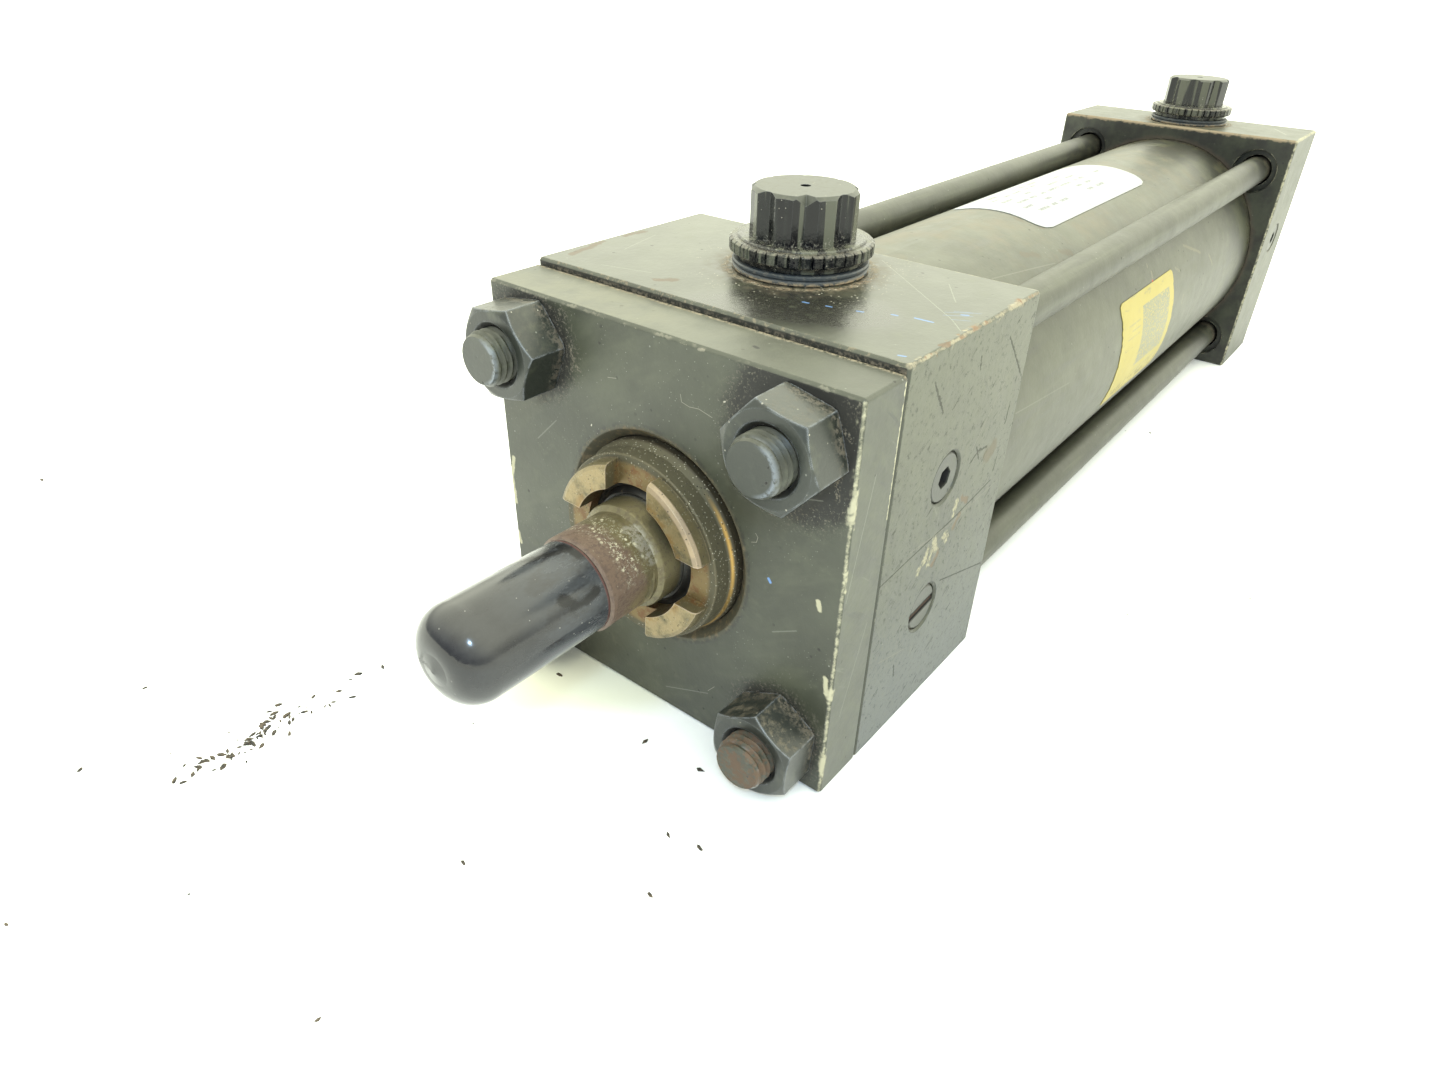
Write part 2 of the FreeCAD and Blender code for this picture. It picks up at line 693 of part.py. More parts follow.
def make_port_plug(x, turn, nicked):
    """Moulded plug: smooth thread body, knurled flange and an eight-point head."""
    knurl_step = 360.0 / plug_knurl_count
    knurl = []
    for index in range(plug_knurl_count):
        angle = index * knurl_step + plug_knurl_turn
        knurl.append((plug_flange_r, angle - knurl_step * plug_knurl_half_tooth))
        knurl.append((plug_flange_r, angle + knurl_step * plug_knurl_half_tooth))
        knurl.append((plug_flange_r - plug_knurl_depth, angle + knurl_step / 2))
    point_step = 360.0 / plug_point_count
    points = []
    for index in range(plug_point_count):
        angle = index * point_step + turn
        points.append((plug_head_r, angle - plug_facet_half_angle))
        points.append((plug_head_r, angle + plug_facet_half_angle))
        points.append((plug_valley_r, angle + point_step / 2))
    core = turned_upright([
        (-plug_thread_length, 0),
        (-plug_thread_length, plug_thread_r - plug_thread_chamfer),
        (plug_thread_chamfer - plug_thread_length, plug_thread_r),
        (plug_ring_height + 0.1, plug_thread_r),
        (plug_ring_height + 0.1, plug_neck_r),
        (plug_flange_bottom, plug_neck_r),
        (plug_flange_bottom, 0),
    ], x, block_top)
    flange_height = plug_flange_top - plug_flange_bottom
    flange = upright_prism(knurl, x, block_top + plug_flange_bottom, flange_height)
    flange = flange.common(turned_upright([
        (plug_flange_bottom, 0),
        (plug_flange_bottom, plug_flange_r - plug_flange_edge),
        (plug_flange_bottom + plug_flange_edge, plug_flange_r + 0.1),
        (plug_flange_top - plug_flange_edge, plug_flange_r + 0.1),
        (plug_flange_top, plug_flange_r - plug_flange_edge),
        (plug_flange_top, 0),
    ], x, block_top))
    head_height = plug_head_top - plug_flange_top
    head = upright_prism(points, x, block_top + plug_flange_top, head_height)
    head = head.common(turned_upright([
        (plug_flange_top, 0),
        (plug_flange_top, plug_head_r + 1),
        (plug_head_top - plug_head_chamfer, plug_head_r + 0.02),
        (plug_head_top, plug_head_r - plug_head_chamfer * 1.4),
        (plug_head_top, 0),
    ], x, block_top))
    collar = turned_upright([
        (plug_flange_bottom + plug_flange_edge, 0),
        (plug_flange_bottom + plug_flange_edge, plug_collar_r),
        (plug_collar_top - plug_collar_edge, plug_collar_r),
        (plug_collar_top, plug_collar_r - plug_collar_edge),
        (plug_collar_top, 0),
    ], x, block_top)
    gate_floor = FreeCAD.Vector(x, 0, block_top + plug_head_top - plug_gate_depth)
    cuts = [Part.makeCylinder(plug_gate_r, 1, gate_floor, Z_AXIS)]
    if nicked:
        cuts.append(nick_cut(x, turn + point_step / 2))
    return core.fuse([flange, collar, head]).cut(cuts).removeSplitter()


def make_plug_ring(x):
    """Sealing ring between the plug's neck and the block, with one shallow groove round it."""
    middle = plug_ring_height / 2
    bore_r = plug_thread_r + plug_ring_gap * 2
    return turned_upright([
        (plug_ring_gap, bore_r),
        (plug_ring_gap, plug_ring_r - plug_ring_edge),
        (plug_ring_gap + plug_ring_edge, plug_ring_r),
        (middle - plug_ring_groove, plug_ring_r),
        (middle, plug_ring_r - plug_ring_groove),
        (middle + plug_ring_groove, plug_ring_r),
        (plug_ring_height - plug_ring_edge, plug_ring_r),
        (plug_ring_height, plug_ring_r - plug_ring_edge),
        (plug_ring_height, bore_r),
    ], x, block_top)


def make_needle(x, z):
    """Metering needle: O-ring groove, tapered tip and a hexagon socket."""
    face = block_side / 2 - screw_setback
    body = turned_sideways([
        (needle_tip_end, 0),
        (needle_tip_end, needle_tip_r * 0.5),
        (needle_tip_end + needle_tip_length, needle_tip_r),
        (needle_body_end, needle_tip_r),
        (needle_body_end, needle_r - needle_body_chamfer),
        (needle_body_end + needle_body_chamfer, needle_r),
        (needle_groove_inner, needle_r),
        (needle_groove_inner, needle_groove_r),
        (needle_groove_outer, needle_groove_r),
        (needle_groove_outer, needle_r),
        (face - screw_chamfer, needle_r),
        (face, needle_r - screw_chamfer),
        (face, 0),
    ], x, z, 1)
    socket_floor = face - needle_socket_depth
    socket = regular_prism(6, needle_socket_across_flats, socket_floor, face + 1, needle_socket_turn)
    socket.rotate(ORIGIN, Z_AXIS, 90)
    socket.translate(FreeCAD.Vector(x, 0, z))
    return body.cut(socket)


def make_needle_o_ring(x, z):
    minor_r = (needle_r - needle_groove_r) / 2 - 0.02
    centre = FreeCAD.Vector(x, (needle_groove_inner + needle_groove_outer) / 2, z)
    return Part.makeTorus(needle_groove_r + minor_r + 0.04, minor_r, centre, Y_AXIS)


def make_check_plug(x, side):
    """Slotted screw that closes the check-valve bore."""
    face = block_side / 2 - screw_setback
    body = turned_sideways([
        (check_plug_inner, 0),
        (check_plug_inner, check_plug_r),
        (face - screw_chamfer, check_plug_r),
        (face, check_plug_r - screw_chamfer),
        (face, 0),
    ], x, check_z, side)
    floor = side * (face - check_slot_depth)
    outside = floor + side * check_plug_r
    corner = FreeCAD.Vector(x - check_bore_r, min(floor, outside), check_z - check_slot_width / 2)
    slot = Part.makeBox(check_bore_r * 2, check_plug_r, check_slot_width, corner)
    slot.rotate(FreeCAD.Vector(x, 0, check_z), Y_AXIS, check_slot_turn)
    return body.cut(slot)


def make_check_ball(x, side):
    centre = FreeCAD.Vector(x, side * (check_bore_floor + check_ball_r + 0.1), check_z)
    return Part.makeSphere(check_ball_r, centre)


def make_label(x_range, angles):
    """Thin curved patch on the tube, between two angles measured from straight up towards +Y."""
    start, end = x_range
    inner = tube_outer_r + label_gap
    shell = ring(start, end, inner, inner + label_thickness)
    first, last = angles
    reach = tube_outer_r * 2
    points = [FreeCAD.Vector(start - 1, 0, 0)]
    for angle in (first, (first + last) / 2, last):
        turn = math.radians(angle)
        points.append(FreeCAD.Vector(start - 1, reach * math.sin(turn), reach * math.cos(turn)))
    wedge = Part.Face(Part.makePolygon(points + points[:1])).extrude(FreeCAD.Vector(end - start + 2, 0, 0))
    return shell.common(wedge)


def main():
    os.makedirs("parts", exist_ok=True)
    save("retainer_plate", make_retainer_plate())
    save("head_block", make_head_block())
    save("cap_block", make_cap_block())
    save("gland", make_gland())
    save("rod_wiper", make_rod_wiper())
    save("rod_lip_seal", make_rod_lip_seal())
    save("gland_o_ring", make_gland_o_ring())
    save("cylinder_tube", make_tube())
    save("head_tube_seal", make_tube_seal(head_back + tube_seat_depth, 1))
    save("cap_tube_seal", make_tube_seal(cap_front - tube_seat_depth, -1))
    for number, (y_sign, z_sign) in enumerate(corner_signs, start=1):
        save("tie_rod_" + str(number), make_tie_rod(y_sign, z_sign))
    save("front_nuts", make_nuts(0, 1))
    save("rear_nuts", make_nuts(cap_back, -1))

    head_seal_start = head_back + cushion_seal_setback
    cap_seal_start = cap_front - cushion_seal_setback - cushion_seal_length
    save("head_cushion_seal", make_cushion_seal(head_seal_start, front_cushion_r))
    save("cap_cushion_seal", make_cushion_seal(cap_seal_start, rear_cushion_r))

    front_seal, rear_seal, wear_ring = piston_groove_starts()
    save("piston_rod", make_piston_rod())
    save("piston", make_piston())
    save("piston_seal_front", make_piston_seal(front_seal, 1))
    save("piston_seal_rear", make_piston_seal(rear_seal, -1))
    save("piston_wear_ring", make_wear_ring(wear_ring))
    save("front_cushion_sleeve", make_front_cushion_sleeve())
    save("rear_cushion_spear", make_rear_cushion_spear())
    save("thread_protector", make_thread_protector())

    save("head_port_plug", make_port_plug(head_port_x, head_plug_turn, True))
    save("head_plug_ring", make_plug_ring(head_port_x))
    save("cap_port_plug", make_port_plug(cap_port_x, cap_plug_turn, False))
    save("cap_plug_ring", make_plug_ring(cap_port_x))

    save("head_cushion_needle", make_needle(head_needle_x, head_needle_z))
    save("head_needle_o_ring", make_needle_o_ring(head_needle_x, head_needle_z))
    save("cap_cushion_needle", make_needle(cap_needle_x, cap_needle_z))
    save("cap_needle_o_ring", make_needle_o_ring(cap_needle_x, cap_needle_z))
    save("head_check_plug", make_check_plug(head_check_x, 1))
    save("head_check_ball", make_check_ball(head_check_x, 1))
    save("cap_check_plug", make_check_plug(cap_check_x, -1))
    save("cap_check_ball", make_check_ball(cap_check_x, -1))

    save("white_label", make_label(white_label_x, white_label_angles))
    save("yellow_label", make_label(yellow_label_x, yellow_label_angles))


main()
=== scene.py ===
import json
import math
import random

import bpy
from mathutils import Matrix, Vector


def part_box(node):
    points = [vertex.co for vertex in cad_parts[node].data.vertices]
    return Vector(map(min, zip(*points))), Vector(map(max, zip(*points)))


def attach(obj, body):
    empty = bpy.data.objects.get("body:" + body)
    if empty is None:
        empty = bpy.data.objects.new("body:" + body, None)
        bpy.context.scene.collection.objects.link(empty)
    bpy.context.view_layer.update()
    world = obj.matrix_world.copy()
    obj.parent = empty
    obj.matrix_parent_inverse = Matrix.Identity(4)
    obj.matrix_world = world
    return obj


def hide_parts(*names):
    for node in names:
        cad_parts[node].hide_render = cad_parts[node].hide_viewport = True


MM = 0.001
SEED_WAY = (37.1, 17.3, 51.7)          # how far one step of a noise seed moves the pattern, in mm

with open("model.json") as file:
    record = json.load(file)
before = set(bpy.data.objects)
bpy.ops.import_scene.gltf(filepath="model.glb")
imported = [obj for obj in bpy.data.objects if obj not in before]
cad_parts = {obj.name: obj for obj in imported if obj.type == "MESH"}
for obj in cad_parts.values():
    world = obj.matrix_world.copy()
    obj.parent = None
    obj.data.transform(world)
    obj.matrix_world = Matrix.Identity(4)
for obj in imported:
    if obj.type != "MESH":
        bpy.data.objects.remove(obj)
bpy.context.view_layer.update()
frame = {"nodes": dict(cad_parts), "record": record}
nodes = frame["nodes"]

BASE_TONE = 0.96
TONE_SHARES = (0.08, 0.02, 0.25)       # what roughness, metal and height add to the tone


class Value:
    """A number, vector or colour inside a material, with ordinary arithmetic for numbers."""

    def __init__(self, shade, socket):
        self.shade = shade
        self.socket = socket

    def __add__(self, other):
        return self.shade.math("ADD", self, other)

    def __sub__(self, other):
        return self.shade.math("SUBTRACT", self, other)

    def __rsub__(self, other):
        return self.shade.math("SUBTRACT", other, self)

    def __mul__(self, other):
        return self.shade.math("MULTIPLY", self, other)

    def __abs__(self):
        return self.shade.math("ABSOLUTE", self)

    __radd__ = __add__
    __rmul__ = __mul__

    def least(self, other):
        return self.shade.math("MINIMUM", self, other)

    def most(self, other):
        return self.shade.math("MAXIMUM", self, other)

    def step(self, low, high):
        """0 at low and 1 at high, with a smooth change between; low may be the larger."""
        return self.shade.smooth(self, low, high)

    def near(self, middle, reach):
        """1 at middle, falling smoothly to 0 at that reach to either side."""
        return abs(self - middle).step(reach, 0.0)


class Shade:
    """One node material. Positions and heights are in millimetres in the part's frame."""

    def __init__(self, name):
        self.material = bpy.data.materials.new(name)
        self.material.use_nodes = True
        self.tree = self.material.node_tree
        self.tree.nodes.clear()
        coordinates = self.tree.nodes.new("ShaderNodeTexCoord")
        self.metres = coordinates.outputs["Object"]
        self.place = self.vector("SCALE", self.metres, scale=1 / MM)
        self.x, self.y, self.z = self.split(self.place.socket)
        self.facing = self.split(coordinates.outputs["Normal"])
        self.color = None
        self.rough = 0.5
        self.metal = 0.0
        self.height = None

    def split(self, socket):
        node = self.tree.nodes.new("ShaderNodeSeparateXYZ")
        self.tree.links.new(socket, node.inputs[0])
        return [Value(self, out) for out in node.outputs]

    def feed(self, socket, value):
        if isinstance(value, Value):
            self.tree.links.new(value.socket, socket)
        elif isinstance(value, bpy.types.NodeSocket):
            self.tree.links.new(value, socket)
        elif socket.type == "RGBA" and len(value) == 3:
            socket.default_value = (*value, 1.0)
        else:
            socket.default_value = value

    def math(self, operation, first, second=0.0):
        node = self.tree.nodes.new("ShaderNodeMath")
        node.operation = operation
        self.feed(node.inputs[0], first)
        self.feed(node.inputs[1], second)
        return Value(self, node.outputs[0])

    def vector(self, operation, first, second=None, scale=None):
        node = self.tree.nodes.new("ShaderNodeVectorMath")
        node.operation = operation
        self.feed(node.inputs[0], first)
        if second is not None:
            self.feed(node.inputs[1], second)
        if scale is not None:
            self.feed(node.inputs["Scale"], scale)
        scalar = operation in ("LENGTH", "DISTANCE", "DOT_PRODUCT")
        return Value(self, node.outputs["Value" if scalar else "Vector"])

    def smooth(self, value, low, high):
        node = self.tree.nodes.new("ShaderNodeMapRange")
        node.interpolation_type = "SMOOTHSTEP"
        flip = low > high
        self.feed(node.inputs["Value"], value)
        node.inputs["From Min"].default_value = min(low, high)
        node.inputs["From Max"].default_value = max(low, high)
        node.inputs["To Min"].default_value = 1.0 if flip else 0.0
        node.inputs["To Max"].default_value = 0.0 if flip else 1.0
        return Value(self, node.outputs["Result"])

    def moved(self, seed, stretch, turn):
        """The place in millimetres, shifted by the seed, squeezed by stretch and turned in degrees."""
        node = self.tree.nodes.new("ShaderNodeMapping")
        self.feed(node.inputs["Vector"], self.metres)
        away = tuple(seed * way for way in SEED_WAY)
        if any(turn):
            node.vector_type = "TEXTURE"
            node.inputs["Location"].default_value = [value * MM for value in away]
            node.inputs["Rotation"].default_value = [math.radians(a) for a in turn]
            node.inputs["Scale"].default_value = [MM / share for share in stretch]
        else:
            node.inputs["Location"].default_value = away
            node.inputs["Scale"].default_value = [share / MM for share in stretch]
        return node.outputs[0]

    def noise(self, size, detail=2.0, rough=0.5, seed=0.0, stretch=(1, 1, 1), turn=(0, 0, 0)):
        """Cloudy noise, about 0.5 on average, with features of that size in millimetres."""
        node = self.tree.nodes.new("ShaderNodeTexNoise")
        self.feed(node.inputs["Vector"], self.moved(seed, stretch, turn))
        node.inputs["Scale"].default_value = 1.0 / size
        node.inputs["Detail"].default_value = detail
        node.inputs["Roughness"].default_value = rough
        return Value(self, node.outputs["Fac"])

    def patches(self, size, seed, low, high, detail=4.0, rough=0.7):
        """Cloudy patches: 0 where the noise is at low, and 1 where it is at high."""
        return self.noise(size, detail, rough, seed).step(low, high)

    def specks(self, size, share, seed=0.0, stretch=(1, 1, 1), turn=(0, 0, 0)):
        """Separate grains, 1 inside a grain; share is a grain's radius over the cell size."""
        node = self.tree.nodes.new("ShaderNodeTexVoronoi")
        self.feed(node.inputs["Vector"], self.moved(seed, stretch, turn))
        node.inputs["Scale"].default_value = 1.0 / size
        return Value(self, node.outputs["Distance"]).step(share, share * 0.5)

    def mix(self, share, first, second):
        """Between two colours."""
        node = self.tree.nodes.new("ShaderNodeMix")
        node.data_type = "RGBA"
        self.feed(node.inputs[0], share)
        self.feed(node.inputs[6], first)
        self.feed(node.inputs[7], second)
        return Value(self, node.outputs[2])

    def blend(self, share, first, second):
        """Between two numbers."""
        node = self.tree.nodes.new("ShaderNodeMix")
        node.data_type = "FLOAT"
        self.feed(node.inputs[0], share)
        self.feed(node.inputs[2], first)
        self.feed(node.inputs[3], second)
        return Value(self, node.outputs[0])

    def around(self, middle, axis):
        """Distance from the line through middle along that axis."""
        away = self.vector("SUBTRACT", self.place, middle)
        keep = tuple(0.0 if i == axis else 1.0 for i in range(3))
        return self.vector("LENGTH", self.vector("MULTIPLY", away, keep))

    def stroke(self, points, width, ragged=0.0, seed=0.0):
        """1 within width of the line through the points; ragged wanders by that much."""
        nearest = None
        for start, end in zip(points, points[1:]):
            along = Vector(end) - Vector(start)
            offset = self.vector("SUBTRACT", self.place, tuple(start))
            share = self.vector("DOT_PRODUCT", offset, tuple(along / along.length_squared))
            foot = self.vector("SCALE", tuple(along), scale=share.most(0.0).least(1.0))
            away = self.vector("DISTANCE", offset, foot)
            nearest = away if nearest is None else nearest.least(away)
        if ragged:
            nearest = nearest + (self.noise(width * 2.5, 3.0, 0.7, seed) - 0.5) * (ragged * 2)
        return nearest.step(width, width * 0.4)

    def strokes(self, lines, width, ragged=0.0, seed=0.0):
        masks = [self.stroke(line, width, ragged, seed) for line in lines]
        total = masks[0]
        for mask in masks[1:]:
            total = total.most(mask)
        return total

    def marks(self, place, lines, width, ragged=0.0, seed=0.0):
        """Strokes on one face; place turns a line's points into places on it."""
        return self.strokes([place(line) for line in lines], width, ragged, seed)

    def worn_edge(self, width):
        """How near a sharp edge is, from 0 on the flat to 1 at the edge."""
        rounded = self.tree.nodes.new("ShaderNodeBevel")
        rounded.samples = 6
        rounded.inputs["Radius"].default_value = width * MM
        flat = self.tree.nodes.new("ShaderNodeNewGeometry").outputs["Normal"]
        match = self.vector("DOT_PRODUCT", rounded.outputs[0], flat)
        return (1.0 - match).step(0.01, 0.25)

    def coat(self, mask, color=None, rough=None, metal=None, raised=None):
        """Lays one more layer over what is there; raised is how far it stands out."""
        if color is not None:
            self.color = self.mix(mask, self.color, color)
        if rough is not None:
            self.rough = self.blend(mask, self.rough, rough)
        if metal is not None:
            self.metal = self.blend(mask, self.metal, metal)
        if raised is not None:
            self.height = mask * raised if self.height is None else self.height + mask * raised

    def finish(self, soft_edge=0.0, **fixed):
        # The other results tint the colour a little; through the height this is a small painted shade, darker
        # in dips and lighter where raised. This was kept from the work on Cycles' stack limit, which the
        # largest paints had overrun and come out black.
        tone = BASE_TONE
        for value, share in zip((self.rough, self.metal, self.height), TONE_SHARES):
            if isinstance(value, Value):
                tone = value * share + tone
        shader = self.tree.nodes.new("ShaderNodeBsdfPrincipled")
        self.feed(shader.inputs["Base Color"], self.vector("SCALE", self.color, scale=tone))
        self.feed(shader.inputs["Roughness"], self.rough)
        self.feed(shader.inputs["Metallic"], self.metal)
        for socket, value in fixed.items():
            shader.inputs[socket.replace("_", " ")].default_value = value
        normal = None
        if soft_edge:
            rounded = self.tree.nodes.new("ShaderNodeBevel")
            rounded.samples = 4
            rounded.inputs["Radius"].default_value = soft_edge * MM
            normal = rounded.outputs[0]
        if self.height is not None:
            bump = self.tree.nodes.new("ShaderNodeBump")
            bump.inputs["Distance"].default_value = MM
            self.feed(bump.inputs["Height"], self.height)
            if normal is not None:
                self.feed(bump.inputs["Normal"], normal)
            normal = bump.outputs[0]
        if normal is not None:
            self.feed(shader.inputs["Normal"], normal)
        out = self.tree.nodes.new("ShaderNodeOutputMaterial")
        self.tree.links.new(shader.outputs[0], out.inputs["Surface"])
        return self.material


PAINT = (0.042, 0.045, 0.030)
PAINT_DARK = (0.020, 0.021, 0.020)
PAINT_LIGHT = (0.074, 0.078, 0.052)
CREAM = (0.34, 0.32, 0.225)
PALE = (0.19, 0.195, 0.165)
DIRT = (0.155, 0.115, 0.070)
TAN = (0.25, 0.19, 0.12)
LINT = (0.42, 0.39, 0.32)
# near-black for grime, and also for painted shade in gaps and recesses and painted reflections of dark parts
GRIME_AND_SHADE = (0.012, 0.011, 0.010)
BLUE = (0.10, 0.20, 0.42)

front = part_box("retainer_plate")[1].x / MM
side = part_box("retainer_plate")[1].y / MM
block_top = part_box("head_block")[1].z / MM
plug_middles = [tuple((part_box(name)[0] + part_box(name)[1]) / 2 / MM)
                for name in ("head_port_plug", "cap_port_plug")]
tube_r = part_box("cylinder_tube")[1].z / MM
head_needle = (-25.4, 0, 10.9)         # the screws in the near side face
head_check = (-25.3, 0, -11.5)
screw_ring_r = 3.9
port_dirt_r = 10.6
plate_back = 9.5                       # behind the front face
plate_top = 31.2
cap_start = -219.6
cap_length = 25.4
label_thickness = 0.12
yellow_middle = 87.0
label_angles = {"white_label": (-22.0, 22.0), "yellow_label": (64.0, 110.0)}
rod_places = [(1, 1), (-1, 1), (1, -1), (-1, -1)]
rod_offset = (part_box("tie_rod_2")[0].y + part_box("tie_rod_2")[1].y) / 2 / MM


def simple(name, color, rough, metal=0.0, size=1.0):
    """A plain finish with fine grain, for parts that are hidden inside."""
    shade = Shade(name)
    grain = shade.noise(size, 3.0, 0.6)
    shade.color = shade.mix(grain, tuple(c * 0.65 for c in color), color)
    shade.rough = shade.blend(grain, rough * 0.8, min(rough * 1.2, 1.0))
    shade.metal = metal
    shade.coat(grain, raised=0.03)
    shade.coat(shade.specks(size * 3, 0.12, 4.0), tuple(c * 0.5 for c in color), rough * 1.3)
    return shade.finish()


def on_front(points):
    """Marks given as (y, z) on the face that looks along +X."""
    return [(front, y, z) for y, z in points]


def on_side(points):
    """Marks given as (x, z) on the face that looks along +Y."""
    return [(x, side, z) for x, z in points]


def on_top(points):
    """Marks given as (x, y) on the top of a block."""
    return [(x, y, block_top) for x, y in points]


def across_top(x, height=None):
    """The line across the top at that X, by default on the blocks."""
    z = block_top if height is None else height
    return [(x, -side, z), (x, side, z)]


def on_tube(points):
    """Marks given as (x, degrees from straight up towards +Y) on the tube."""
    return [(x, tube_r * math.sin(math.radians(a)), tube_r * math.cos(math.radians(a))) for x, a in points]


def paint(name, seed, base=PAINT, rough=0.36, edge=0.6, edge_share=0.52, edge_color=CREAM, grain_size=0.7):
    """Old satin paint: cloudy, faintly gritty, with fine pale flecks and its edges rubbed through."""
    shade = Shade(name)
    cloud = shade.noise(14.0, 4.0, 0.6, seed)
    patch = shade.noise(4.0, 3.0, 0.65, seed + 1)
    grain = shade.noise(grain_size, 3.0, 0.65, seed + 2)
    dark = tuple(c * 0.62 for c in base)
    shade.color = shade.mix(cloud.step(0.3, 0.7), dark, base)
    shade.rough = shade.blend(patch, rough * 0.86, rough * 1.25)
    shade.coat(patch.step(0.55, 0.8) * 0.5, PAINT_LIGHT, rough * 1.35)
    shade.coat(grain, raised=0.022)
    shade.coat(patch, raised=0.045)
    flecks = shade.specks(1.7, 0.10, seed + 3) * shade.patches(7.0, seed + 4, 0.5, 0.62, 3.0, 0.6)
    shade.coat(flecks * 0.75, PALE, 0.6, raised=0.02)
    pits = shade.specks(2.6, 0.13, seed + 5) * shade.patches(9.0, seed + 6, 0.48, 0.62, 2.0, 0.5)
    shade.coat(pits * 0.8, GRIME_AND_SHADE, 0.6, raised=-0.03)
    if edge:
        wear = shade.worn_edge(edge) * shade.patches(2.2, seed + 7, edge_share, edge_share + 0.10)
        shade.coat(wear, edge_color, 0.55, raised=-0.03)
        shade.coat(shade.worn_edge(edge * 0.5) * 0.14, PALE, 0.4)
    return shade


def square_on(direction):
    """1 where the surface squarely faces that way."""
    return direction.step(0.75, 0.97)


def upward(shade):
    return square_on(shade.facing[2])


def forward(shade):
    return square_on(shade.facing[0])


def sideways(shade):
    """Both side faces."""
    return square_on(abs(shade.facing[1]))


def round_tube(shade, middle_angle):
    """Millimetres round the tube from that angle, in degrees from straight up towards +Y."""
    return (shade.math("ARCTAN2", shade.y, shade.z) - math.radians(middle_angle)) * tube_r


def mill_marks(shade, turn, seed):
    """Broad diagonal brush streaks of a ground and painted side face."""
    streak = shade.noise(5.0, 4.0, 0.65, seed, (0.16, 1, 1), (0, turn, 0))
    fine = shade.noise(1.1, 3.0, 0.6, seed + 1, (0.07, 1, 1), (0, turn, 0))
    face = sideways(shade)
    mottle = shade.noise(2.6, 4.0, 0.7, seed + 2, (0.5, 1, 1), (0, turn, 0))
    shade.coat(face * streak.step(0.42, 0.72) * 0.3, PAINT_LIGHT, 0.44)
    shade.coat(face * mottle.step(0.45, 0.68) * 0.5, PAINT_LIGHT, 0.5)
    shade.coat(face * mottle.step(0.43, 0.28) * 0.55, PAINT_DARK, 0.40)
    shade.coat(face * fine.step(0.36, 0.27) * mottle.step(0.35, 0.6) * 0.6, PAINT_DARK, raised=-0.015)
    shade.coat(face * fine.step(0.62, 0.74) * mottle.step(0.4, 0.6) * 0.2, PALE, raised=0.01)


def port_dirt(shade, middle, radius, seed):
    """Tan dirt in a ring round a port, and grime just outside it."""
    away = shade.around(middle, 2) + (shade.noise(1.6, 4.0, 0.7, seed) - 0.5) * 1.6
    top = upward(shade)
    haze = away.near(radius + 1.6, 3.2) * shade.patches(2.4, seed + 1, 0.36, 0.66) * top
    shade.coat(haze * 0.4, (0.13, 0.105, 0.070), 0.75, raised=0.02)
    ring = away.near(radius + 0.5, 1.15) * shade.patches(0.7, seed + 2, 0.38, 0.54, 4.0, 0.75) * top
    shade.coat(ring * 0.8, (0.20, 0.165, 0.115), 0.85, raised=0.07)
    rust = ring * shade.patches(2.7, seed + 3, 0.52, 0.62, 2.0, 0.6)
    shade.coat(rust * 0.25, (0.22, 0.11, 0.055))


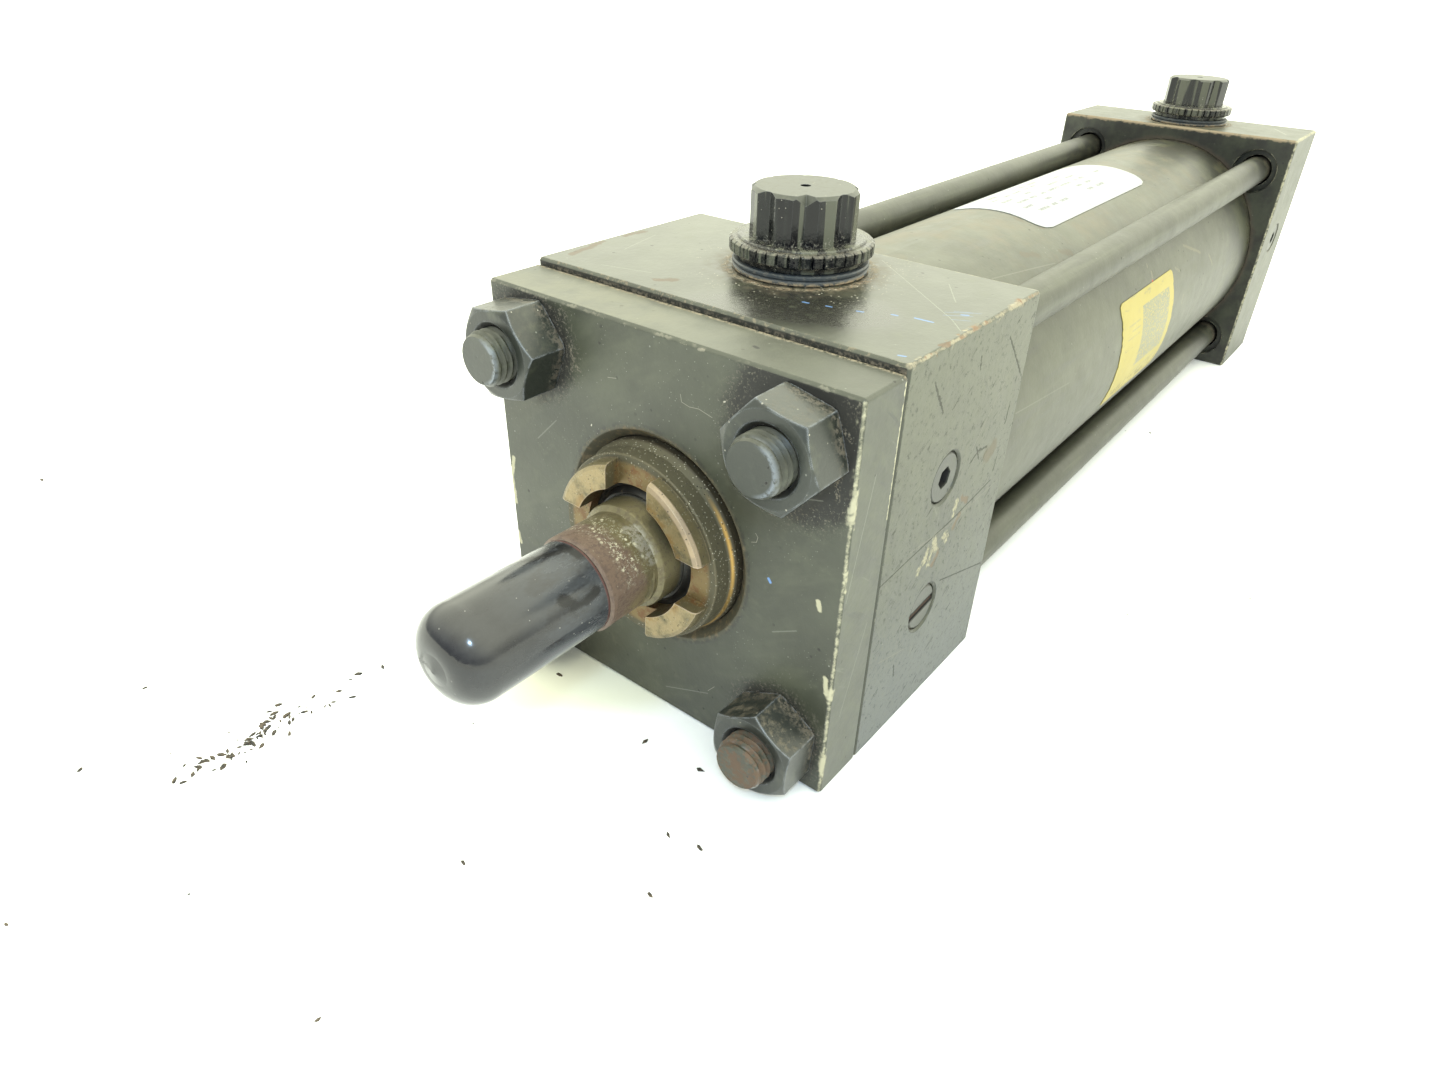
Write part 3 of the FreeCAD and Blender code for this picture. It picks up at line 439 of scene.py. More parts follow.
def plate_paint():
    shade = paint("plate_paint", 1.0, rough=0.38, edge=0.4, edge_share=0.56)
    mill_marks(shade, -38.0, 12.0)
    face = forward(shade)
    smear = shade.noise(6.0, 4.0, 0.6, 14.0, (1, 0.35, 1), (30, 0, 0))
    shade.coat(face * smear.step(0.5, 0.75) * 0.45, PAINT_LIGHT, 0.5)
    # Round each tie-rod nut the front goes near-black: painted shade and a painted reflection of the nut. The
    # fluff in a ring there is real lint.
    for (y_sign, z_sign), reach, seed in zip(rod_places, (12.5, 10.0, 9.0, 9.0), (15.0, 16.0, 17.0, 18.0)):
        away = shade.around((0, y_sign * rod_offset, z_sign * rod_offset), 0)
        away = away + (shade.noise(2.0, 4.0, 0.7, seed) - 0.5) * 4.0
        shade.coat(face * away.step(reach, reach - 3.0) * 0.93, GRIME_AND_SHADE, 0.65)
        fluff = face * away.near(reach - 2.0, 3.2) * shade.patches(0.45, seed + 0.5, 0.55, 0.62, 3.0, 0.8)
        shade.coat(fluff * 0.65, (0.15, 0.135, 0.105), 0.8, raised=0.04)
    mouth = shade.around((0, 0, 0), 0)
    ring = mouth.step(17.4, 16.5)
    shade.coat(ring, (0.052, 0.046, 0.028), 0.55)
    shade.coat(ring * shade.patches(1.0, 19.0, 0.50, 0.64) * 0.8, (0.135, 0.10, 0.055), 0.7)
    shade.coat(mouth.near(17.2, 0.6) * shade.patches(1.2, 20.0, 0.45, 0.6, 3.0, 0.6) * 0.7, GRIME_AND_SHADE)
    corner_line = [(front, side, block_top), (front, side, -block_top)]
    near_corner = shade.stroke(corner_line, 0.42, 0.3, 21.0)
    corner_chips = shade.stroke(corner_line, 0.95, 0.9, 21.5) * shade.patches(4.5, 21.7, 0.54, 0.60, 3.0, 0.6)
    shade.coat(near_corner.most(corner_chips) * 0.95, CREAM, 0.6, raised=-0.04)
    back_edge = shade.stroke([(front - 9.2, side, block_top - 2), (front - 9.2, side, 12.0)], 0.35, 0.5, 22.0)
    shade.coat(back_edge, CREAM, 0.6)
    top_edge = shade.stroke(across_top(front, 31.0), 0.3, 0.6, 23.0)
    shade.coat(top_edge * shade.patches(6.0, 23.5, 0.5, 0.6, 3.0, 0.6) * 0.5, (0.20, 0.185, 0.14), 0.6)
    top_dust = upward(shade) * shade.patches(7.0, 23.8, 0.30, 0.66, 4.0, 0.6)
    shade.coat(top_dust * shade.y.step(26.0, -12.0) * 0.7, (0.115, 0.112, 0.078), 0.5)
    seam = shade.stroke(across_top(front - 9.3, plate_top), 1.0, 0.5, 24.0)
    lumps = shade.patches(0.6, 24.5, 0.40, 0.54, 3.0, 0.75)
    shade.coat(seam * lumps * 0.85, (0.20, 0.165, 0.115), 0.85, raised=0.08)
    # A painted shadow in the groove where the plate's top meets the head's front face.
    shade.coat(shade.stroke(across_top(front - plate_back, plate_top), 0.25, 0.2, 24.2) * 0.9, GRIME_AND_SHADE, 0.85)
    chips = shade.marks(on_front, [
        [(28.6, 1.0), (28.3, 2.2)], [(-30.4, 2.4), (-31.3, -1.0), (-31, -6)],
        [(-31.3, -12), (-30.9, -14)], [(30.6, -9.5), (31, -12)],
    ], 0.5, 0.35, 25.0)
    shade.coat(chips, CREAM, 0.65, raised=-0.05)
    shade.coat(shade.stroke(on_front([(8.6, 30.9), (7.8, 30.7)]), 0.28, 0.2, 25.5) * 0.7, (0.22, 0.20, 0.15),
               0.65)
    dust = shade.specks(0.55, 0.17, 27.0) * shade.patches(9.0, 28.0, 0.46, 0.62, 3.0, 0.6)
    shade.coat(face * dust * 0.5, PALE, 0.7, raised=0.02)
    upper_dust = shade.specks(0.9, 0.10, 29.0) * shade.z.step(-4.0, 14.0)
    shade.coat(face * upper_dust * 0.6, (0.24, 0.24, 0.20), 0.7, raised=0.02)
    tan_lint = shade.marks(on_front, [
        [(-15.6, 25.0), (-14.8, 23.4), (-15.2, 21.6)], [(-15.0, 22.6), (-13.8, 22.0)],
        [(30.0, 22.0), (29.2, 19.6), (29.6, 17.8)], [(28.6, 27.4), (30.4, 25.8)],
    ], 0.45, 0.55, 29.5)
    shade.coat(tan_lint * shade.patches(0.35, 29.7, 0.48, 0.58, 3.0, 0.75) * 0.7, (0.19, 0.165, 0.125), 0.85,
               raised=0.05)
    fibres = shade.marks(on_front, [
        [(4.9, 23.9), (5.1, 22.9), (6.4, 22.6), (8.0, 22.8), (10.2, 22.3)],
        [(17.3, 6.6), (18.1, 6.9), (18.3, 7.7), (17.9, 8.2)],
        [(12.4, 18.6), (13.1, 17.7), (12.8, 16.9)], [(-8.2, 22.5), (-6.6, 22.8)],
        [(10.6, -23.4), (11.8, -21.9)], [(-16.0, -9.0), (-15.1, -7.6)],
    ], 0.06)
    shade.coat(fibres * 0.35, LINT, 0.8, raised=0.03)
    scratches = shade.strokes([
        on_front([(19.0, 14.5), (27.5, 16.8)]), on_front([(2.0, -27.5), (10.5, -24.0)]),
        on_front([(-24.0, 8.0), (-19.5, 12.4)]), on_front([(21.6, -6.2), (25.4, -4.1)]),
        [(-4.6, side, 20), (-1.0, side, 3)], [(-7.6, side, -4), (-3.2, side, -18)],
    ], 0.13, 0.08, 26.0)
    shade.coat(scratches * 0.35, PALE, 0.5, raised=-0.02)
    shade.coat(shade.stroke(on_front([(20.4, 2.1), (20.7, 1.7)]), 0.3), BLUE, 0.5)
    shade.coat(shade.marks(on_front, [[(12.0, 25.0), (12.2, 25.1)], [(-12, 14), (-11.9, 14.2)]], 0.13), LINT)
    shade.coat(shade.stroke([(-4.5, 13.0, plate_top), (-4.3, 13.6, plate_top)], 0.4), GRIME_AND_SHADE, 0.6)
    return shade.finish(0.35)


def head_paint():
    shade = paint("head_paint", 30.0, rough=0.37, edge=0.45, edge_share=0.54)
    mill_marks(shade, -52.0, 41.0)
    top = upward(shade)
    port = plug_middles[0]
    shade.coat(top * 0.35, rough=0.24)
    # Painted reflection of the dark plug in the glossy top, mixed with grime: a dark patch towards the front
    # and round the plug.
    stain_and_reflection = shade.stroke([(-12, 3, block_top), (-17, 8, block_top), (-20, 16, block_top)], 9.5, 4.0, 43.0)
    shade.coat(top * stain_and_reflection * shade.patches(1.4, 44.0, 0.22, 0.52, 4.0, 0.75) * 0.85, GRIME_AND_SHADE, 0.25)
    shade.coat(top * shade.around(port, 2).step(16.5, 11.0)
               * shade.patches(1.4, 44.5, 0.34, 0.6, 4.0, 0.75) * 0.7, GRIME_AND_SHADE, 0.28)
    port_dirt(shade, port, port_dirt_r, 45.0)
    grit = shade.specks(0.7, 0.24, 49.0) * top * shade.around(port, 2).step(21.0, 12.0)
    shade.coat(grit * shade.patches(3.0, 50.0, 0.45, 0.55, 2.0, 0.5) * 0.8, LINT, 0.8, raised=0.06)
    # Painted shadow on the narrow strip of the head's front face above the plate; the dust on its top edge is
    # real.
    lip_shade = forward(shade) * shade.z.step(block_top - 1.5, block_top - 1.0)
    shade.coat(lip_shade * 0.8, GRIME_AND_SHADE, 0.7)
    lip_dust = lip_shade * shade.z.step(block_top - 0.35, block_top - 1.0)
    lip_dust = lip_dust * shade.patches(0.7, 50.7, 0.46, 0.6, 4.0, 0.75)
    shade.coat(lip_dust * 0.7, (0.17, 0.14, 0.10), 0.85, raised=0.04)
    rub_line = [(-9.8, side, block_top), (-47.4, side, block_top)]
    rub_chips = shade.stroke(rub_line, 1.0, 0.9, 51.5) * shade.patches(3.6, 51.7, 0.50, 0.57, 3.0, 0.6)
    rub = shade.stroke(rub_line, 0.45, 0.35, 51.0).most(rub_chips)
    shade.coat(rub * 0.85, (0.26, 0.225, 0.155), 0.6, raised=-0.05)
    shade.coat(rub * shade.patches(2.4, 52.0, 0.52, 0.6, 3.0, 0.6) * 0.9, (0.15, 0.085, 0.05), 0.8)
    front_lip = shade.stroke(across_top(-9.7), 0.6, 0.5, 53.0)
    shade.coat(front_lip * shade.patches(0.9, 53.5, 0.52, 0.62, 3.0, 0.7) * 0.6, (0.19, 0.155, 0.105), 0.8)
    back_lip = shade.stroke(across_top(-47.5), 0.5, 0.5, 54.0)
    shade.coat(back_lip * 0.6, CREAM, 0.6)
    shade.coat(shade.stroke(on_top([(-18.2, 31.2), (-19.4, 31.5)]), 0.7, 0.7, 55.0) * 0.8,
               (0.125, 0.085, 0.058), 0.8)
    smudges = shade.marks(on_top, [
        [(-14.0, -29.0), (-22.0, -30.6)], [(-27.0, -30.6), (-31.0, -30.2)],
        [(-13.4, -11.0), (-15.0, -9.4)],
    ], 0.9, 1.2, 55.5)
    shade.coat(smudges * 0.6, (0.115, 0.080, 0.055), 0.7)
    pale_scratches = shade.marks(on_top, [
        [(-44.5, 7.4), (-36.0, 17.6), (-27.5, 27.8), (-24.3, 30.7)], [(-41.0, 20.5), (-34.2, 25.0)],
        [(-13.2, -22.0), (-15.4, -14.0)], [(-31.0, -27.4), (-21.4, -25.2)],
        [(-44.6, -20.2), (-38.0, -22.6)],
    ], 0.12, 0.13, 56.0)
    shade.coat(pale_scratches * 0.6, PALE, 0.5, raised=-0.03)
    blue_marks = shade.marks(on_top, [
        [(-19.8, 9.6), (-19.9, 10.4)], [(-20.6, 12.9), (-20.7, 13.5)], [(-21.7, 17.0), (-21.9, 17.7)],
        [(-23.7, 21.1), (-23.8, 21.8)], [(-24.6, 24.0), (-24.7, 26.5)], [(-30.0, 28.0), (-30.4, 28.7)],
        [(-11.6, 29.0), (-11.8, 29.7)],
    ], 0.28, 0.15, 57.0)
    shade.coat(blue_marks * 0.7, BLUE, 0.5)
    blue_lines = shade.marks(on_top, [
        [(-28.2, 26.2), (-30.4, 29.4)], [(-29.4, 25.8), (-31.6, 28.8)], [(-30.6, 26.6), (-32.2, 29.8)],
        [(-27.4, 27.8), (-28.6, 30.0)],
    ], 0.10, 0.10, 58.0)
    shade.coat(blue_lines * 0.55, (0.12, 0.19, 0.34), 0.5)
    face = sideways(shade)
    # Painted light on the side faces: bluish towards the bottom as a painted reflection of the floor, olive
    # towards the top as painted warm light from above.
    shade.coat(face * shade.z.step(6.0, -28.0) * 0.6, (0.058, 0.067, 0.073), 0.40)
    shade.coat(face * shade.z.step(0.0, 28.0) * 0.45, (0.078, 0.080, 0.050), 0.46)
    blotch = shade.noise(1.1, 5.0, 0.8, 58.5)
    shade.coat(face * blotch.step(0.53, 0.64) * 0.45, (0.096, 0.098, 0.074), 0.52)
    shade.coat(face * blotch.step(0.46, 0.36) * 0.6, (0.018, 0.019, 0.015), 0.65, raised=-0.02)
    nicks = shade.noise(0.55, 2.0, 0.5, 58.8, (0.14, 1, 1), (0, 35.0, 0)).step(0.38, 0.33)
    shade.coat(face * nicks * shade.patches(3.5, 58.9, 0.50, 0.62, 3.0, 0.6) * 0.6, (0.014, 0.014, 0.011),
               0.75, raised=-0.03)
    chips = shade.marks(on_side, [
        [(-21.5, -2.6), (-23.2, -1.7), (-23.7, 0.4)], [(-24.6, -3.4), (-25.2, -0.6)],
        [(-25.3, 0.7), (-26.6, -1.7)], [(-28.2, 0.1), (-29.4, -0.8)], [(-31.2, 4.4), (-30.6, 2.4)],
    ], 0.9, 1.7, 59.0) * shade.patches(0.7, 59.5, 0.38, 0.52, 4.0, 0.75)
    shade.coat(chips * 0.9, (0.27, 0.25, 0.175), 0.7, raised=-0.06)
    rust_chips = shade.marks(on_side, [
        [(-31.4, 0.1), (-32.8, 1.4)], [(-32.6, 4.6), (-34.9, 3.3)], [(-26.2, -3.8), (-27.2, -2.8)],
    ], 0.75, 1.0, 60.0)
    shade.coat(rust_chips * 0.75, (0.13, 0.095, 0.066), 0.75, raised=-0.04)
    brown = shade.stroke(on_side([(-39.6, 9.2), (-41.0, 9.6)]), 1.9, 2.2, 60.5)
    shade.coat(brown * 0.6, (0.105, 0.084, 0.058), 0.7)
    dark_marks = shade.marks(on_side, [
        [(-16.8, 27.9), (-20.7, 22.5)], [(-30.1, 27.4), (-30.4, 25.4)], [(-38.9, 27.8), (-47.2, 19.0)],
        [(-44.4, 15.9), (-44.1, 12.7)], [(-33.2, 10.2), (-35.8, 11.3), (-38.5, 10.8)],
        [(-43.6, 7.1), (-43.2, 4.9)], [(-18.4, -18.6), (-18.9, -21.0)], [(-34.6, 12.2), (-36.2, 9.8)],
    ], 0.26, 0.42, 61.0)
    shade.coat(dark_marks * 0.6, (0.012, 0.012, 0.010), 0.8, raised=-0.04)
    dark_lines = shade.marks(on_side, [
        [(-9.9, 0.7), (-17.7, 1.2), (-31.0, 1.9), (-42.9, 3.3)], [(-30.3, -9.1), (-46.4, -14.2)],
    ], 0.17, 0.16, 61.5)
    shade.coat(dark_lines * 0.65, (0.012, 0.012, 0.010), 0.8, raised=-0.04)
    fine_lines = shade.marks(on_side, [
        [(-17.7, 2.2), (-29.0, 1.2), (-47.0, 1.9)], [(-33.0, 12.2), (-46.4, 27.0)],
        [(-12.8, -14.6), (-21.4, -17.2)], [(-36.8, -20.4), (-45.2, -18.8)],
    ], 0.11, 0.10, 62.0)
    shade.coat(fine_lines * 0.45, (0.14, 0.13, 0.10), 0.5, raised=-0.02)
    # A painted shadow in the gap round each screw in the near side face: a near-black ring, also sunk by the
    # bump.
    near_face = square_on(shade.facing[1])
    for middle in (head_needle, head_check):
        hole = shade.around(middle, 1)
        shade.coat(hole.near(screw_ring_r, 0.45) * near_face, (0.001, 0.001, 0.001), 1.0, raised=-0.35)
    return shade.finish(0.35)


def cap_paint():
    shade = paint("cap_paint", 70.0, rough=0.42, edge_share=0.49)
    mill_marks(shade, 40.0, 81.0)
    port_dirt(shade, plug_middles[1], port_dirt_r, 83.0)
    front_face = forward(shade)
    shade.coat(front_face * shade.patches(5.0, 87.0, 0.35, 0.65, 4.0, 0.6) * 0.8, GRIME_AND_SHADE, 0.5)
    joint = shade.around((0, 0, 0), 0) + (shade.noise(2.0, 4.0, 0.7, 88.0) - 0.5) * 2.0
    shade.coat(front_face * joint.near(28.8, 1.3) * 0.6, (0.058, 0.042, 0.028), 0.85)
    lip = shade.stroke(across_top(cap_start), 0.9, 0.9, 89.0)
    shade.coat(lip * 0.9, (0.22, 0.17, 0.11), 0.7, raised=-0.04)
    corner = shade.stroke([(cap_start, side, block_top), (cap_start, side, -block_top + 1)], 0.5, 0.6, 90.0)
    shade.coat(corner * 0.8, CREAM, 0.6, raised=-0.04)
    top_side = shade.stroke([(cap_start, side, block_top), (cap_start - cap_length, side, block_top)], 0.7,
                            0.7, 91.0)
    shade.coat(top_side * 0.7, CREAM, 0.6)
    knocks = shade.strokes([
        [(-226.0, -12.0, block_top), (-224.6, -20.0, block_top)],
        [(-238.0, 22.0, block_top), (-229.0, 27.0, block_top)], [(-245.0, -20, 12), (-245.0, -6, 22)],
        [(-245.0, 8, -16), (-245.0, 19, -8)], [(-224.0, side, 24), (-229, side, 14)],
        [(-228.0, -side, 20), (-240, -side, 2)],
    ], 0.25, 0.25, 92.0)
    shade.coat(knocks * 0.7, PALE, 0.5, raised=-0.03)
    return shade.finish(0.35)


def tube_paint():
    shade = paint("tube_paint", 100.0, base=(0.048, 0.050, 0.029), rough=0.40, edge=0.0)
    length_streak = shade.noise(2.4, 4.0, 0.65, 111.0, (0.05, 1, 1))
    shade.coat(length_streak.step(0.5, 0.75) * 0.35, PAINT_LIGHT, 0.46)
    shade.coat(length_streak.step(0.46, 0.25) * 0.4, PAINT_DARK, 0.34)
    stains = shade.marks(on_tube, [
        [(-100.5, 33), (-103.5, 35)], [(-105.5, 17), (-104, 20)], [(-101.6, 10), (-101.4, 12)],
        [(-88.0, 27), (-92.0, 30)], [(-60.5, 42), (-62.5, 46)], [(-97.0, -20), (-99.0, -26)],
    ], 1.0, 1.3, 112.0)
    shade.coat(stains * 0.6, (0.080, 0.064, 0.044), 0.6)
    shade.coat(shade.stroke(on_tube([(-134.4, 63.5), (-134.8, 64.5)]), 0.4, 0.2, 113.0), (0.35, 0.05, 0.03),
               0.6)
    scuffs = shade.marks(on_tube, [
        [(-151.0, 65), (-153.5, 67.5)], [(-121.0, 66), (-125.0, 68)], [(-135.2, 60), (-135.0, 62)],
        [(-134.0, 56), (-133.8, 57)], [(-156.5, 80), (-156.0, 84)], [(-160.0, 58), (-171.0, 66)],
        [(-178.0, 70), (-181.0, 76)],
    ], 0.45, 0.5, 114.0)
    shade.coat(scuffs * 0.5, (0.18, 0.165, 0.12), 0.6, raised=-0.04)
    lines = shade.marks(on_tube, [
        [(-145.0, 52), (-145.6, 56)], [(-72.0, 30), (-95.0, 36)], [(-185.0, 34), (-205.0, 40)],
        [(-60.0, 75), (-84.0, 79)], [(-110.0, -60), (-150.0, -52)], [(-70.0, -110), (-120.0, -118)],
    ], 0.16, 0.12, 115.0)
    shade.coat(lines * 0.22, PALE, 0.5)
    ends = shade.x.step(-52.0, -48.5).most(shade.x.step(-214.5, -219.0))
    shade.coat(ends * shade.patches(1.6, 116.0, 0.44, 0.60) * 0.65, (0.060, 0.046, 0.032), 0.8, raised=0.03)
    top_dust = shade.facing[2].step(0.55, 0.98) * shade.patches(10.0, 117.0, 0.44, 0.68, 5.0, 0.7)
    shade.coat(top_dust * 0.3, DIRT, 0.6)
    soot = shade.x.step(-180.0, -204.0) * shade.patches(7.0, 116.5, 0.42, 0.56, 3.0, 0.6)
    shade.coat(soot * 0.72, (0.014, 0.014, 0.012), 0.40)
    return shade.finish()


def tie_rod_paint():
    shade = paint("tie_rod_paint", 130.0, base=(0.040, 0.041, 0.027), rough=0.45, edge=0.0)
    near_nut = shade.x.step(3.0, 7.0)
    streak = shade.noise(1.6, 3.0, 0.6, 141.0, (0.06, 1, 1))
    shade.coat(streak.step(0.52, 0.7) * 0.4, PAINT_LIGHT, 0.5)
    ends = (shade.x.step(-50.5, -48.0) * shade.x.step(-40, -44)).most(shade.x.step(-216.5, -219.0))
    shade.coat(ends * shade.patches(0.9, 142.0, 0.42, 0.56) * 0.7, (0.062, 0.048, 0.034), 0.8, raised=0.04)
    soot = shade.x.step(-184.0, -206.0) * shade.patches(5.0, 142.5, 0.40, 0.54, 3.0, 0.6)
    shade.coat(soot * 0.75, (0.010, 0.010, 0.009), 0.42)
    low_near = shade.y.step(0, 10) * shade.z.step(0, -10) * near_nut
    rust = shade.patches(1.3, 143.0, 0.40, 0.58)
    shade.coat(low_near * rust * 0.8, (0.085, 0.048, 0.028), 0.8, raised=0.02)
    disc = shade.facing[0].step(0.8, 0.97) * near_nut
    shade.coat(disc * (1.0 - low_near) * 0.7, (0.030, 0.033, 0.030), 0.34)
    # A painted highlight: a bluish rim on the rod ends' chamfers, stronger on the +Y rods.
    rim = near_nut * shade.facing[0].near(0.72, 0.22) * shade.patches(1.2, 145.0, 0.42, 0.6, 3.0, 0.6)
    rim = rim * shade.x.step(8.3, 8.8)
    shade.coat(rim * shade.blend(shade.y.step(20.0, 27.0), 0.25, 0.6), (0.17, 0.18, 0.195), 0.24)
    # A painted highlight: a bluish arc on the +Y side of each upper rod end.
    for y_sign in (1, -1):
        from_middle = shade.around((0, y_sign * rod_offset, rod_offset), 0)
        crescent_highlight = from_middle.near(3.3, 0.5) * (shade.y - y_sign * rod_offset).step(0.0, 2.6)
        crescent_highlight = crescent_highlight * shade.x.step(8.5, 8.9)
        shade.coat(crescent_highlight * shade.patches(0.8, 145.5, 0.34, 0.54, 3.0, 0.7) * 0.55, (0.22, 0.25, 0.30),
                   0.26)
    dents = shade.specks(1.6, 0.16, 146.0) * disc
    shade.coat(dents, GRIME_AND_SHADE, 0.5, raised=-0.06)
    return shade.finish()


def nut_paint():
    shade = paint("nut_paint", 160.0, base=(0.021, 0.024, 0.020), rough=0.31, edge=0.0, grain_size=0.5)
    top = shade.facing[2].step(0.35, 0.85)
    fuzz = shade.patches(1.4, 171.0, 0.46, 0.70, 4.0, 0.75)
    low_nuts = shade.z.step(0.0, -5.0)
    shade.coat(top * fuzz * shade.blend(low_nuts, 0.3, 0.7), (0.115, 0.098, 0.070), 0.85, raised=0.05)
    seat = shade.x.near(front + 0.6, 2.0) * shade.patches(0.8, 172.0, 0.46, 0.56)
    shade.coat(seat * 0.55, (0.125, 0.105, 0.080), 0.85, raised=0.06)
    # Painted shade in each nut's bore round the rod: the nut goes near-black there.
    for y_sign, z_sign in rod_places:
        away = shade.around((0, y_sign * rod_offset, z_sign * rod_offset), 0)
        shade.coat(away.step(4.9, 4.2) * 0.9, GRIME_AND_SHADE, 0.6)
    # A painted highlight: bluish-white patches on the nuts' edges.
    edge = shade.worn_edge(0.6) * shade.patches(1.5, 173.0, 0.34, 0.54, 3.0, 0.65)
    shade.coat(edge * 0.8, (0.27, 0.29, 0.32), 0.22)
    spots = shade.specks(1.3, 0.12, 174.0) * shade.patches(3.0, 175.0, 0.5, 0.6, 2.0, 0.5)
    shade.coat(spots * 0.7, LINT, 0.8)
    return shade.finish(0.5)


def gland_bronze():
    """Tarnished bronze: olive-grey where it is dirty, golden on the rims, orange in the slots, with painted
    highlights.
    """
    shade = Shade("gland_bronze")
    cloud = shade.noise(3.0, 4.0, 0.65, 1.0)
    grain = shade.noise(0.6, 3.0, 0.7, 2.0)
    shade.color = shade.mix(cloud.step(0.3, 0.7), (0.098, 0.082, 0.044), (0.148, 0.121, 0.063))
    shade.rough = shade.blend(grain, 0.40, 0.62)
    shade.metal = shade.blend(cloud, 0.35, 0.7)
    away = shade.around((0, 0, 0), 0)
    collar = shade.x.step(4.2, 3.4) * away.step(12.6, 13.4)
    shade.coat(collar * 0.85, (0.058, 0.053, 0.034), 0.58, 0.3)
    slot_floor = shade.x.step(4.6, 3.9) * away.step(13.5, 12.5)
    shade.coat(slot_floor * 0.85, (0.170, 0.118, 0.050), 0.45, 0.55)
    corner = slot_floor * shade.patches(1.8, 3.0, 0.46, 0.62)
    shade.coat(corner * 0.8, (0.125, 0.050, 0.016), 0.6, 0.3)
    tooth_face = shade.facing[0].step(0.8, 0.97) * shade.x.step(5.2, 5.8)
    shade.coat(tooth_face * cloud.step(0.32, 0.55) * 0.9, (0.26, 0.20, 0.105), 0.36, 0.6)
    turned = shade.noise(0.35, 2.0, 0.5, 4.0)
    shade.coat(tooth_face * turned.step(0.5, 0.7) * 0.3, (0.13, 0.12, 0.065))
    inner = away.step(11.4, 10.2) * shade.x.step(3.6, 4.6)
    shade.coat(inner * shade.patches(2.0, 5.0, 0.40, 0.62, 3.0, 0.6) * 0.8, (0.20, 0.115, 0.035), 0.45, 0.5)
    edge = shade.worn_edge(0.35)
    # A painted highlight: pinkish white on the tooth edges, stronger towards +Y; the faint bronze on every
    # edge below is wear.
    shade.coat(edge * shade.x.step(3.8, 5.2) * shade.blend(shade.y.step(6.0, 11.0), 0.4, 0.9),
               (0.66, 0.55, 0.48), 0.24, 0.9)
    shade.coat(edge * 0.35, (0.30, 0.22, 0.11), 0.35, 0.8)
    # Painted shade in the gap between the collar and the plate's bore: dark bronze behind the front face.
    shade.coat(shade.x.step(0.1, -0.2) * away.step(13.9, 14.2) * 0.85, (0.030, 0.023, 0.012), 0.6, 0.2)
    # A painted highlight: a golden rim on the collar next to the plate, only on the lower right side.
    rim = away.step(13.9, 14.2) * shade.x.near(0.35, 0.42) * (shade.y - shade.z * 0.6).step(2.0, 10.0)
    shade.coat(rim * 0.9, (0.50, 0.31, 0.10), 0.34, 0.9)
    # A painted highlight on the outer chamfer of the tooth on the +Y side.
    bevel_highlight = away.step(12.6, 12.85) * shade.x.step(5.0, 5.25) * shade.y.step(2.0, 6.0)
    bevel_highlight = bevel_highlight * shade.z.step(-2.0, 1.0)
    shade.coat(bevel_highlight * 0.4, (0.42, 0.32, 0.25), 0.36, 0.8)
    dirt = shade.specks(0.45, 0.26, 6.0) * shade.patches(1.4, 7.0, 0.38, 0.52, 3.0, 0.6)
    shade.coat(dirt * shade.blend(collar, 0.3, 0.8), (0.34, 0.32, 0.25), 0.85, 0.0, 0.04)
    pits = shade.specks(0.6, 0.24, 8.0) * shade.patches(1.6, 9.0, 0.42, 0.56, 3.0, 0.6)
    shade.coat(pits * 0.8, (0.020, 0.017, 0.010), 0.7, 0.0, -0.05)
    shade.coat(grain, raised=0.02)
    return shade.finish(0.2)


def wiper_rubber():
    shade = Shade("wiper_rubber")
    grain = shade.noise(0.4, 3.0, 0.6, 1.0)
    shade.color = shade.mix(grain, (0.004, 0.004, 0.004), (0.012, 0.011, 0.010))
    shade.rough = shade.blend(grain, 0.35, 0.6)
    dust = shade.patches(1.0, 2.0, 0.58, 0.68, 4.0, 0.75)
    shade.coat(dust * 0.5, DIRT, 0.8, raised=0.03)
    shade.coat(grain, raised=0.02)
    return shade.finish()


